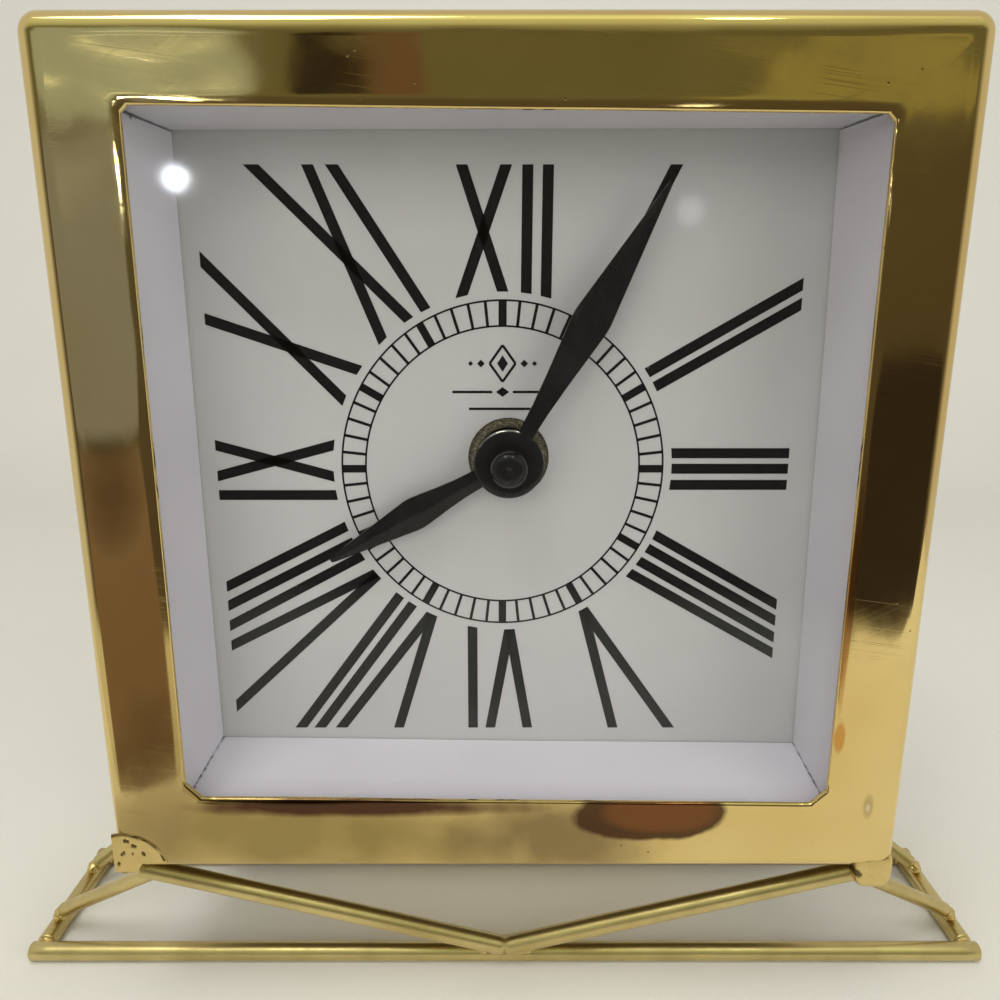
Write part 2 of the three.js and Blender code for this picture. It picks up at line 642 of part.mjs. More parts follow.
const housingBack = cut(
  box(-housingHalf, housingHalf, HOUSING_SPLIT, HOUSING_THICK, -housingHalf, housingHalf),
  box(-bayInner, bayInner, HOUSING_SPLIT - CUT, backWall, partitionTop, bayInner),
  box(-bayInner, bayInner, HOUSING_SPLIT - CUT, HOUSING_THICK + CUT, -bayInner, BAY_TOP),
  pivotHole(MOTION_AT, motionShaft + GAP, HOUSING_SPLIT, HOUSING_THICK + CUT),
  ...[THIRD_AT, INTERMEDIATE_AT, ROTOR_AT, [0, 0]].map(backHole),
);
add('housing_back', BLACK_PLASTIC, onArbor(housingBack));

const bushBore = BUSH + GAP;
const rubberRadius = 9;
const washerRadius = 6.1;
const washerThick = 0.6;
const nutRadius = 5.8;           // to its corners
const nutThick = 2.2;
add('rubber_washer', RUBBER, onArbor(ring(bushBore, rubberRadius, boardBack + GAP, HOUSING_DEPTH - GAP)));
const washerBack = BOARD_DEPTH - GAP;
const washerFront = washerBack - washerThick;
add('brass_washer', SATIN_BRASS, onArbor(ring(bushBore, washerRadius, washerFront, washerBack)));
const nutBack = washerFront - GAP;
const nutShape = polygon([0, 1, 2, 3, 4, 5].map((i) => polar(degrees(60 * i), nutRadius)));
add('hex_nut', SATIN_BRASS, onArbor(plate(withHole(nutShape, bushBore), nutBack - nutThick, nutBack)));

// ---- hands ---------------------------------------------------------------------------------------
// Outlines run from the root to the tip as [along, half width].
function hand(outline, boss, bore, front, back, angle) {
  const leftSide = outline.map(([along, half]) => [-half, along]);
  const rightSide = outline.map(([along, half]) => [half, along]);
  const blade = plate(polygon([...rightSide, ...leftSide.reverse()]), front, back);
  const body = join(blade, disc(boss, front, back, 40));
  const bored = cut(body, disc(bore, front - CUT, back + CUT, 20));
  return onArbor(bored.rotateY(degrees(angle)));
}

const minuteOutline = [[0, 1.5], [7, 1.5], [31, 3.6], [MINUTE_REACH - 1, 0.5], [MINUTE_REACH, 0.2]];
const hourOutline = [[0, 1.9], [8, 1.9], [21.3, 3.25], [HOUR_REACH - 1, 0.7], [HOUR_REACH, 0.4]];
const minuteFront = handDepth(7.2);
const minuteBack = handDepth(6.4);
const hourFront = handDepth(4.7);
const hourBack = handDepth(3.9);
add('hour_hand', HAND_BLACK, hand(hourOutline, 5, PIPE + GAP, hourFront, hourBack, HOUR_ANGLE));
add('minute_hand', HAND_BLACK, hand(minuteOutline, BOSS, pipeBore, minuteFront, minuteBack, MINUTE_ANGLE));

const capBack = minuteFront - GAP;
const capFront = handDepth(13.6);
const capRadius = 3.55;
add('hand_cap', HAND_BLACK, onArbor(turned([
  [0, capFront], [capRadius - 0.6, capFront], [capRadius, capFront + 0.6], [capRadius, capBack],
  [pipeBore, capBack], [pipeBore, minuteArborTip - GAP], [0, minuteArborTip - GAP],
], 28)));

export default clock;
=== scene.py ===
"""A mantel clock: a square polished brass case on an open base of brass rods, in metres."""

import json
import math

import bmesh
import bpy
from mathutils import Matrix, Vector, noise


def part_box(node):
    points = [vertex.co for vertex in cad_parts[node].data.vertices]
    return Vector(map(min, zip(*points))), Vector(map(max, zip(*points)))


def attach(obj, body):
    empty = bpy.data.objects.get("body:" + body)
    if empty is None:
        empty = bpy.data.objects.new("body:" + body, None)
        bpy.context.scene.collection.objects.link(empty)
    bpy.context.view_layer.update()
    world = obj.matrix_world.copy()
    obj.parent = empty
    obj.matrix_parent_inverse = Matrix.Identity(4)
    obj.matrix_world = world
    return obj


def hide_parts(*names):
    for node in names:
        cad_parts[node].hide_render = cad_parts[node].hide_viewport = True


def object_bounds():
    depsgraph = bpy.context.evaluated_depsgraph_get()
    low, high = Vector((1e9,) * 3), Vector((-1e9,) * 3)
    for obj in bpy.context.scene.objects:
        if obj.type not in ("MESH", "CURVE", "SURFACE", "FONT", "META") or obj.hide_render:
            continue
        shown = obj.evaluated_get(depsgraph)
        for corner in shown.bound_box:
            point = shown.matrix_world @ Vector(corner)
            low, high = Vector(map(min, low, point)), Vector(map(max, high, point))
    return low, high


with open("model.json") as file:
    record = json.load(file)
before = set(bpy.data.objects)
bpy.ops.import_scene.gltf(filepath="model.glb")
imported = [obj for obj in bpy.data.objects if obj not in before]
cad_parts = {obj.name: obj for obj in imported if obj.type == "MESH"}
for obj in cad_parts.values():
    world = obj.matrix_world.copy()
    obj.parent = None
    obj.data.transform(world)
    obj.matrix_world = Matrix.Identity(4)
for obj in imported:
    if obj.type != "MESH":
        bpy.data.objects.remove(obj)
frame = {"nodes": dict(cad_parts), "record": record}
CAD_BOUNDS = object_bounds()
MM = 0.001

# ---- dimensions, from the frame -------------------------------------------------------------------
CASE_LO, CASE_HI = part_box("case_shell")
CENTRE = (CASE_LO + CASE_HI) / 2
CASE_HALF = (CASE_HI.x - CASE_LO.x) / 2
FRONT = CASE_LO.y
SHEET = 1.0 * MM
CORNER = 3.6 * MM                 # radius of the case's four long edges
FOLD = 3.0 * MM                   # radius of the fold round the front face
LINER = 1.5 * MM
# Corners of the window and of the recess, from the lower left through the lower right, measured from
# the case's middle.
WINDOW = [Vector(p) * MM for p in ((-60.8, -60.1), (61.3, -61.5), (61.1, 60.7), (-60.5, 62.0))]
WINDOW_CLIPS = [3.0 * MM, 3.0 * MM, 1.2 * MM, 1.2 * MM]
AT_GLASS = [Vector(p) * MM for p in ((-62.8, -63.7), (62.8, -63.7), (62.8, 62.3), (-62.8, 62.3))]
AT_DIAL = [Vector(p) * MM for p in ((-60.7, -59.7), (62.4, -61.2), (60.7, 62.4), (-60.7, 62.1))]
DIAL_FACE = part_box("dial_card")[0].y
CARD_HOLE = 8.0 * MM
ARBOR = (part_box("minute_arbor")[0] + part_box("minute_arbor")[1]) / 2
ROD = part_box("rail_front")[1].z / 2
SIDE_ROD = 1.57 * MM
EDGE_GAP = 0.02 * MM              # pieces shaped by noise stay this far inside the whole box


# ---- mesh helpers -----------------------------------------------------------------------------------
def new_object(name, mesh_builder, material, smooth_angle=35):
    """An object from a function that fills a bmesh, with smooth shading below an angle."""
    bm = bmesh.new()
    mesh_builder(bm)
    bmesh.ops.recalc_face_normals(bm, faces=bm.faces)
    mesh = bpy.data.meshes.new(name)
    bm.to_mesh(mesh)
    bm.free()
    obj = bpy.data.objects.new(name, mesh)
    bpy.context.scene.collection.objects.link(obj)
    for one in material if isinstance(material, list) else [material]:
        mesh.materials.append(one)
    for face in mesh.polygons:
        face.use_smooth = True
    mesh.set_sharp_from_angle(angle=math.radians(smooth_angle))
    return obj


def place(obj, body, slot, *nodes):
    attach(obj, body)
    if nodes:
        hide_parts(*nodes)
    return obj


def grid_faces(bm, rings, close_ring=True, close_ends=False):
    """Quads between rings of vertices; close_ends joins the last ring to the first."""
    count = len(rings[0])
    last = len(rings) if close_ends else len(rings) - 1
    for i in range(last):
        a, b = rings[i], rings[(i + 1) % len(rings)]
        for j in range(count if close_ring else count - 1):
            k = (j + 1) % count
            bm.faces.new((a[j], a[k], b[k], b[j]))


def lathe(bm, profile, segments, centre, ripple=None):
    """Turns [radius, y] pairs about a Y axis through centre; ripple changes a radius by angle."""
    rings = []
    for radius, y in profile:
        if radius < 1e-6:
            rings.append([bm.verts.new((centre.x, y, centre.z))])
            continue
        ring = []
        for i in range(segments):
            angle = 2 * math.pi * i / segments
            r = radius * (ripple(angle, y) if ripple else 1)
            ring.append(bm.verts.new((centre.x + r * math.cos(angle), y, centre.z + r * math.sin(angle))))
        rings.append(ring)
    for a, b in zip(rings, rings[1:]):
        for j in range(segments):
            k = (j + 1) % segments
            if len(a) == 1:
                bm.faces.new((a[0], b[k], b[j]))
            elif len(b) == 1:
                bm.faces.new((a[j], a[k], b[0]))
            else:
                bm.faces.new((a[j], a[k], b[k], b[j]))


def tube(bm, points, radii, segments=40):
    """A round bar along points, with domed ends."""
    path = [Vector(p) for p in points]
    side = Vector((0, 0, 1)).cross(path[1] - path[0])
    if side.length < 1e-9:
        side = Vector((1, 0, 0))
    side.normalize()
    rings = []
    for i, here in enumerate(path):
        run = (path[min(i + 1, len(path) - 1)] - path[max(i - 1, 0)]).normalized()
        up = run.cross(side).normalized()
        across = up.cross(run)
        rings.append([
            bm.verts.new(here + radii[i] * (math.cos(a) * across + math.sin(a) * up))
            for a in (2 * math.pi * j / segments for j in range(segments))
        ])
    grid_faces(bm, rings)
    for ring, flip in ((rings[0], True), (rings[-1], False)):
        bm.faces.new(ring[::-1] if flip else ring)


def rod_path(start, end, radius, tag, steps=48, bow=0.06 * MM, dome=0.3 * MM):
    """Points and radii of a drawn rod: very slightly bowed, with its cut ends eased."""
    start, end = Vector(start), Vector(end)
    points, radii = [], []
    for i in range(steps + 1):
        t = i / steps
        wave = noise.noise(Vector((t * 3.1, tag, 0.5))) * math.sin(math.pi * t)
        points.append(start.lerp(end, t) + Vector((0, wave * bow, wave * bow * 0.4)))
        radii.append(radius * (1 - 0.006 * abs(noise.noise(Vector((t * 5, tag, 2.5))))))
    run = (end - start).normalized()
    points = [start, start + run * dome] + points[1:-1] + [end - run * dome, end]
    radii = [radius - dome, radius] + radii[1:-1] + [radius, radius - dome]
    return points, radii


def refined(name, node, material, width, segments=3, angle=35):
    """The CAD node's shape with merged flat faces and small rounded edges."""
    source = frame["nodes"][node]
    bm = bmesh.new()
    bm.from_mesh(source.data)
    bmesh.ops.remove_doubles(bm, verts=bm.verts, dist=1e-6)
    bmesh.ops.dissolve_limit(bm, angle_limit=math.radians(1), verts=bm.verts, edges=bm.edges)
    mesh = bpy.data.meshes.new(name)
    bm.to_mesh(mesh)
    bm.free()
    obj = bpy.data.objects.new(name, mesh)
    bpy.context.scene.collection.objects.link(obj)
    mesh.materials.append(material)
    for face in mesh.polygons:
        face.use_smooth = True
    bevel = obj.modifiers.new("edges", "BEVEL")
    bevel.width = width
    bevel.segments = segments
    bevel.limit_method = "ANGLE"
    bevel.angle_limit = math.radians(angle)
    bevel.use_clamp_overlap = True
    weighted = obj.modifiers.new("flat_faces", "WEIGHTED_NORMAL")
    weighted.mode = "FACE_AREA"
    weighted.weight = 100
    return obj


# ---- material helpers ---------------------------------------------------------------------------------
class Nodes:
    """A short way to write a node tree ending in one Principled shader."""

    def __init__(self, name):
        self.material = bpy.data.materials.new(name)
        self.material.use_nodes = True
        self.tree = self.material.node_tree
        self.shader = self.tree.nodes["Principled BSDF"]
        self.coords = self.tree.nodes.new("ShaderNodeTexCoord").outputs["Object"]

    def node(self, kind, inputs=(), **settings):
        made = self.tree.nodes.new(kind)
        for key, value in settings.items():
            setattr(made, key, value)
        for key, value in dict(inputs).items():
            self.put(made.inputs[key], value)
        return made

    def put(self, socket, value):
        if isinstance(value, bpy.types.NodeSocket):
            self.tree.links.new(value, socket)
        else:
            socket.default_value = value

    def scaled(self, x, y, z):
        """Object coordinates stretched on each axis, in metres."""
        return self.node("ShaderNodeMapping", {"Vector": self.coords, "Scale": (x, y, z)}).outputs[0]

    def noise(self, scale, detail=4.0, rough=0.55, vector=None, distortion=0.0):
        made = self.node("ShaderNodeTexNoise", {
            "Vector": vector or self.coords, "Scale": scale, "Detail": detail, "Roughness": rough,
            "Distortion": distortion})
        return made.outputs["Fac"]

    def cells(self, scale, vector=None, feature="F1"):
        made = self.node("ShaderNodeTexVoronoi", {"Vector": vector or self.coords, "Scale": scale},
                         feature=feature)
        return made.outputs["Distance"]

    def ramp(self, value, *stops):
        """Colours or grey values at positions along a value."""
        made = self.node("ShaderNodeValToRGB", {"Fac": value})
        elements = made.color_ramp.elements
        while len(elements) < len(stops):
            elements.new(0.5)
        for element, (position, colour) in zip(elements, stops):
            element.position = position
            grey = (colour, colour, colour, 1) if isinstance(colour, (int, float)) else (*colour, 1)
            element.color = grey
        return made.outputs["Color"]

    def mix(self, factor, a, b, blend="MIX"):
        made = self.tree.nodes.new("ShaderNodeMix")
        made.data_type = "RGBA"
        made.blend_type = blend
        for key, value in (("Factor_Float", factor), ("A_Color", a), ("B_Color", b)):
            socket = next(s for s in made.inputs if s.identifier == key)
            self.put(socket, (*value, 1) if isinstance(value, tuple) and len(value) == 3 else value)
        return next(s for s in made.outputs if s.identifier == "Result_Color")

    def math(self, operation, a, b=0.0, clamp=False):
        made = self.node("ShaderNodeMath", operation=operation, use_clamp=clamp)
        self.put(made.inputs[0], a)
        self.put(made.inputs[1], b)
        return made.outputs[0]

    def axis(self, name, vector=None):
        made = self.node("ShaderNodeSeparateXYZ", {"Vector": vector or self.coords})
        return made.outputs[name]

    def bumps(self, *layers):
        """Bump layers as (height, distance in metres), from broad to fine."""
        normal = None
        for height, distance in layers:
            made = self.node("ShaderNodeBump", {"Height": height, "Strength": 1.0, "Distance": distance})
            if normal:
                self.put(made.inputs["Normal"], normal)
            normal = made.outputs["Normal"]
        self.put(self.shader.inputs["Normal"], normal)

    def finish(self, **sockets):
        for key, value in sockets.items():
            name = key.replace("_", " ").title().replace("Ior", "IOR")
            self.put(self.shader.inputs[name], (*value, 1) if isinstance(value, tuple) and len(value) == 3
                     else value)
        return self.material


# ---- materials ------------------------------------------------------------------------------------------
def fine_scratches(n, angle, length, gap, seed):
    """Thin broken lines about a direction on the front: 1 on a scratch, 0 elsewhere."""
    turned = n.node("ShaderNodeMapping", {
        "Vector": n.coords, "Location": (seed, 0, seed), "Rotation": (0, math.radians(angle), 0),
        "Scale": (length, 0.02, gap)}, vector_type="TEXTURE").outputs[0]
    line = n.math("ABSOLUTE", n.math("SUBTRACT", n.noise(1, 1, 0.5, turned), 0.5))
    line = n.ramp(line, (0.003, 1.0), (0.010, 0.0))
    broken = n.ramp(n.noise(64, 3, 0.6), (0.44, 0.0), (0.66, 0.6))
    return n.math("MULTIPLY", line, broken)


def stains_and_painted_reflections(n, base, spots):
    """Brown stains and painted dark reflections on the front face: x, z, half width, half height (mm), colour,
    amount, sharpness.
    """
    warp = n.math("MULTIPLY", n.math("SUBTRACT", n.noise(80, 3, 0.5), 0.5), 1.1)
    front = n.math("LESS_THAN", n.axis("Y"), FRONT + 0.6 * MM)
    for x, z, wide, high, colour, amount, sharp in spots:
        across = n.math("DIVIDE", n.math("SUBTRACT", n.axis("X"), x * MM), wide * MM)
        up = n.math("DIVIDE", n.math("SUBTRACT", n.axis("Z"), z * MM), high * MM)
        reach = n.math("ADD", n.math("MULTIPLY", across, across), n.math("MULTIPLY", up, up))
        reach = n.math("ADD", reach, warp)
        mask = n.ramp(reach, (sharp, amount), (1.0, 0.0))
        base = n.mix(n.math("MULTIPLY", mask, front), base, colour)
    return base


# Stains and painted reflections on the case's face. The broad brown patches on the bottom, left and right borders
# stand partly for dark reflections of the room in the mirror-bright brass and partly for staining. The last two rows
# paint a dent as a brown ring with a pale centre.
STAINS_AND_PAINTED_REFLECTIONS = [
    (-40.0, 41.0, 52.0, 11.0, (0.29, 0.215, 0.075), 0.85, 0.1),
    (10.0, 40.0, 24.0, 11.0, (0.235, 0.165, 0.075), 0.85, 0.1),
    (27.5, 45.4, 15.2, 6.4, (0.085, 0.04, 0.02), 0.95, 0.8),
    (29.5, 45.8, 12.0, 5.0, (0.20, 0.085, 0.03), 0.95, 0.55),
    (-26.0, 47.0, 36.0, 2.4, (0.075, 0.03, 0.02), 0.95, 0.3),
    (-66.0, 52.0, 9.0, 22.0, (0.37, 0.26, 0.11), 0.7, 0.1),
    (62.4, 61.5, 1.1, 3.4, (0.58, 0.27, 0.05), 0.8, 0.4),
    (61.9, 90.0, 0.8, 22.0, (0.42, 0.17, 0.04), 0.8, 0.4),
    (-68.5, 108.0, 6.0, 12.0, (0.20, 0.13, 0.065), 0.6, 0.05),
    (69.3, 47.2, 1.2, 3.2, (0.38, 0.29, 0.14), 0.6, 0.2),
    (69.3, 46.8, 0.5, 1.2, (0.84, 0.72, 0.46), 0.6, 0.2),
]


def polished_brass():
    n = Nodes("polished_brass")
    cloud = n.noise(22, 3, 0.5)
    warm = n.ramp(cloud, (0.34, (0.72, 0.525, 0.20)), (0.52, (0.78, 0.59, 0.24)), (0.7, (0.82, 0.645, 0.285)))
    haze = n.noise(120, 5, 0.65, distortion=0.6)
    scratches = n.math("MAXIMUM", fine_scratches(n, 8, 0.15, 0.0016, 3.1),
                       n.math("MULTIPLY", fine_scratches(n, -27, 0.12, 0.0030, 7.7), 0.4))
    pits = n.ramp(n.cells(330), (0.035, 1.0), (0.075, 0.0))
    rare = n.ramp(n.noise(60, 2), (0.57, 0.0), (0.63, 1.0))
    marks = n.math("MULTIPLY", pits, rare)
    base = n.mix(marks, warm, (0.16, 0.10, 0.045))
    base = n.mix(n.math("MULTIPLY", n.ramp(haze, (0.55, 0.0), (0.8, 1.0)), 0.25), base, (0.62, 0.49, 0.25))
    # Brown patches painted on the face: partly stains, partly painted reflections.
    base = stains_and_painted_reflections(n, base, STAINS_AND_PAINTED_REFLECTIONS)
    # Painted shade: the case's underside, back from the front lip, is darkened to brown-black and made rougher in
    # place of the shade beneath the case.
    low = n.math("LESS_THAN", n.axis("Z"), CASE_LO.z + 0.8 * MM)
    under = n.math("MULTIPLY", low, n.math("GREATER_THAN", n.axis("Y"), FRONT + 2.2 * MM))
    base = n.mix(n.math("MULTIPLY", under, 0.88), base, (0.13, 0.09, 0.045))
    rough = n.math("ADD", n.ramp(haze, (0.3, 0.035), (0.75, 0.10)), n.math("MULTIPLY", scratches, 0.16))
    rough = n.math("ADD", rough, n.math("MULTIPLY", under, 0.2))
    n.bumps((n.noise(34, 2, 0.4), 0.0001), (haze, 0.000004), (scratches, -0.000002), (marks, -0.00003))
    return n.finish(base_color=base, roughness=rough, metallic=1.0)


def rod_brass():
    """Drawn brass rod: satin, with fine grain and a little greenish-brown discolouring."""
    n = Nodes("rod_brass")
    grain = n.noise(900, 4, 0.6)
    streak = n.noise(1, 3, 0.5, n.scaled(70, 800, 800))
    stain = n.noise(70, 4, 0.6)
    base = n.mix(n.ramp(stain, (0.4, 0.0), (0.7, 1.0)), (0.68, 0.555, 0.25), (0.53, 0.42, 0.175))
    base = n.mix(n.ramp(streak, (0.55, 0.0), (0.8, 0.3)), base, (0.34, 0.26, 0.13))
    specks = n.math("MULTIPLY", n.ramp(n.cells(420), (0.06, 1.0), (0.12, 0.0)),
                    n.ramp(n.noise(120), (0.58, 0.0), (0.64, 1.0)))
    base = n.mix(n.math("MULTIPLY", specks, 0.7), base, (0.1, 0.07, 0.035))
    rough = n.ramp(n.mix(0.5, grain, stain), (0.35, 0.30), (0.65, 0.42))
    n.bumps((streak, 0.000012), (grain, 0.000012), (specks, -0.00004))
    return n.finish(base_color=base, roughness=rough, metallic=1.0)


def shade_black_brass():
    """Brass painted nearly black as painted shade, for the parts deep in the dial's hole."""
    n = Nodes("shade_black_brass")
    cloud = n.noise(600, 4, 0.6)
    base = n.ramp(cloud, (0.35, (0.012, 0.010, 0.008)), (0.65, (0.04, 0.034, 0.02)))
    n.bumps((cloud, 0.00003))
    return n.finish(base_color=base, roughness=n.ramp(cloud, (0.3, 0.38), (0.7, 0.6)), metallic=1.0)


def braze_metal():
    """Run brazing metal: satin brass, black wherever the mesh marks soot."""
    n = Nodes("braze_metal")
    lumps = n.noise(420, 4, 0.6)
    grain = n.noise(1500, 3, 0.6)
    soot = n.node("ShaderNodeAttribute", attribute_name="soot").outputs["Fac"]
    soot = n.ramp(n.math("ADD", soot, n.math("MULTIPLY", n.math("SUBTRACT", grain, 0.5), 0.5)),
                  (0.4, 0.0), (0.62, 1.0))
    base = n.ramp(lumps, (0.35, (0.64, 0.49, 0.195)), (0.65, (0.75, 0.575, 0.235)))
    base = n.mix(n.math("MULTIPLY", soot, 0.9), base, (0.08, 0.052, 0.025))
    n.bumps((lumps, 0.00005), (grain, 0.00001))
    return n.finish(base_color=base, roughness=n.ramp(lumps, (0.3, 0.22), (0.7, 0.36)), metallic=1.0)


def clear_glass():
    """A pane that lets light straight through and mirrors a little, more at a slant."""
    n = Nodes("clear_glass")
    facing = n.node("ShaderNodeLayerWeight", {"Blend": 0.5}).outputs["Facing"]
    mirror = n.math("ADD", n.math("MULTIPLY", n.math("POWER", facing, 5.0), 0.96), 0.022)
    smear = n.noise(26, 4, 0.6, n.scaled(1, 1, 2.6), 0.8)
    film = n.math("MULTIPLY", n.ramp(smear, (0.45, 0.0), (0.8, 1.0)), 0.003)
    return n.finish(base_color=(0.95, 0.97, 1.0), roughness=n.ramp(smear, (0.45, 0.05), (0.8, 0.09)),
                    metallic=1.0, alpha=n.math("ADD", mirror, film, clamp=True))


def seam_distance(n, first, second):
    """Distance, in metres, from the seam that runs from one corner of the recess at the glass to the dial."""
    depth = n.math("DIVIDE", n.math("SUBTRACT", n.axis("Y"), FRONT + 3.6 * MM), 18.8 * MM)
    apart = []
    for axis, middle, near, far in (("X", CENTRE.x, first.x, second.x), ("Z", CENTRE.z, first.y, second.y)):
        level = n.math("ADD", n.math("MULTIPLY", depth, far - near), middle + near)
        apart.append(n.math("ABSOLUTE", n.math("SUBTRACT", n.axis(axis), level)))
    return n.math("MAXIMUM", *apart)


def white_lining():
    n = Nodes("white_lining")
    fibre = n.noise(1, 5, 0.6, n.scaled(700, 240, 700))
    cloud = n.noise(18, 3)
    base = n.mix(cloud, (0.55, 0.53, 0.585), (0.65, 0.64, 0.69))
    drips = n.noise(1, 4, 0.7, n.scaled(620, 620, 160))
    beside_glass = n.ramp(n.math("SUBTRACT", n.axis("Y"), FRONT), (0.004, 1.0), (0.014, 0.0))
    wide = n.math("ADD", n.math("MULTIPLY", beside_glass, -360), 450)
    for corner, amount in enumerate((380, 620, 700, wide)):
        apart = n.math("MULTIPLY", seam_distance(n, AT_GLASS[corner], AT_DIAL[corner]), amount)
        glue = n.ramp(n.math("ADD", apart, drips), (0.50, 1.0), (0.60, 0.0))
        base = n.mix(n.math("MULTIPLY", glue, 0.85), base, (0.075, 0.07, 0.10))
    specks = n.ramp(n.cells(900), (0.05, 0.5), (0.1, 0.0))
    base = n.mix(n.math("MULTIPLY", specks, n.ramp(n.noise(300), (0.6, 0.0), (0.66, 1.0))), base,
                 (0.25, 0.24, 0.28))
    n.bumps((cloud, 0.0003), (fibre, 0.00002))
    return n.finish(base_color=base, roughness=n.ramp(fibre, (0.3, 0.42), (0.7, 0.6)), sheen_weight=0.05)


def dial_paper():
    n = Nodes("dial_paper")
    mottle = n.noise(38, 5, 0.6)
    grain = n.noise(1500, 3, 0.6)
    base = n.mix(mottle, (0.40, 0.398, 0.40), (0.47, 0.467, 0.466))
    base = n.mix(n.ramp(grain, (0.4, 0.0), (0.75, 0.16)), base, (0.36, 0.352, 0.345))
    dust = n.math("MULTIPLY", n.ramp(n.cells(420), (0.03, 1.0), (0.07, 0.0)),
                  n.ramp(n.noise(90), (0.6, 0.0), (0.66, 1.0)))
    base = n.mix(n.math("MULTIPLY", dust, 0.6), base, (0.32, 0.30, 0.28))
    n.bumps((mottle, 0.00012), (grain, 0.00001))
    return n.finish(base_color=base, roughness=n.ramp(mottle, (0.3, 0.5), (0.7, 0.62)))


def printed_ink():
    n = Nodes("printed_ink")
    grain = n.noise(900, 4, 0.7)
    chips = n.math("MULTIPLY", n.ramp(n.cells(260), (0.03, 1.0), (0.06, 0.0)),
                   n.ramp(n.noise(110), (0.56, 0.0), (0.62, 1.0)))
    base = n.ramp(grain, (0.3, (0.003, 0.003, 0.004)), (0.8, (0.009, 0.009, 0.010)))
    base = n.mix(n.math("MULTIPLY", chips, 0.35), base, (0.35, 0.34, 0.33))
    n.bumps((grain, 0.000006))
    return n.finish(base_color=base, roughness=n.ramp(grain, (0.3, 0.45), (0.8, 0.6)),
                    specular_ior_level=0.12)


def fibreboard():
    """The cut edge and face of the board: dark olive-brown fibre with pale and black specks, with painted shade, near
    black, within about 7 mm of the arbor.
    """
    n = Nodes("fibreboard")
    fibre = n.noise(2900, 5, 0.8)
    flecks = n.ramp(n.cells(2400), (0.12, 1.0), (0.3, 0.0))
    base = n.ramp(fibre, (0.40, (0.045, 0.04, 0.022)), (0.5, (0.115, 0.103, 0.062)),
                  (0.62, (0.34, 0.31, 0.22)))
    # Painted shade: near black within about 6 to 7 mm of the arbor, where the boss shades the hole.
    away = n.math("ADD", n.math("POWER", n.math("SUBTRACT", n.axis("X"), ARBOR.x), 2.0),
                  n.math("POWER", n.math("SUBTRACT", n.axis("Z"), ARBOR.z), 2.0))
    away = n.math("ADD", n.math("SQRT", away), n.math("MULTIPLY", n.noise(400, 2), 0.0008))
    base = n.mix(n.ramp(n.math("MULTIPLY", away, 100), (0.62, 0.9), (0.72, 0.0)), base, (0.02, 0.017, 0.01))
    base = n.mix(n.math("MULTIPLY", flecks, 0.5), base, (0.03, 0.026, 0.018))
    n.bumps((fibre, 0.00016))
    return n.finish(base_color=base, roughness=n.ramp(fibre, (0.3, 0.9), (0.8, 0.7)))


def pine_wood():
    n = Nodes("pine_wood")
    rings = n.noise(1, 3, 0.5, n.scaled(500, 30, 120), 1.5)
    pores = n.noise(1, 5, 0.7, n.scaled(2500, 160, 2500))
    base = n.ramp(rings, (0.35, (0.50, 0.32, 0.15)), (0.5, (0.66, 0.46, 0.24)), (0.7, (0.74, 0.56, 0.33)))
    base = n.mix(n.ramp(pores, (0.5, 0.0), (0.8, 0.5)), base, (0.34, 0.21, 0.1))
    n.bumps((pores, 0.00006))
    return n.finish(base_color=base, roughness=n.ramp(pores, (0.3, 0.65), (0.8, 0.85)))


def black_hardboard():
    n = Nodes("black_hardboard")
    fibre = n.noise(1, 6, 0.75, n.scaled(420, 420, 900), 0.7)
    mesh = n.math("MULTIPLY", n.cells(900), 1.2)
    scuffs = n.ramp(n.noise(46, 5, 0.7), (0.56, 0.0), (0.78, 1.0))
    base = n.mix(n.math("MULTIPLY", scuffs, 0.5), (0.018, 0.017, 0.016), (0.075, 0.068, 0.06))
    n.bumps((fibre, 0.00012), (mesh, 0.00004))
    return n.finish(base_color=base, roughness=n.ramp(fibre, (0.35, 0.42), (0.7, 0.68)))


def moulded_plastic(name, low, high, gloss=0.36):
    n = Nodes(name)
    spark = n.noise(2600, 3, 0.6)
    cloud = n.noise(60, 4, 0.6)
    base = n.mix(cloud, low, high)
    n.bumps((cloud, 0.00004), (spark, 0.00002))
    return n.finish(base_color=base, roughness=n.ramp(n.mix(0.5, spark, cloud), (0.35, gloss),
                                                      (0.7, gloss + 0.16)))


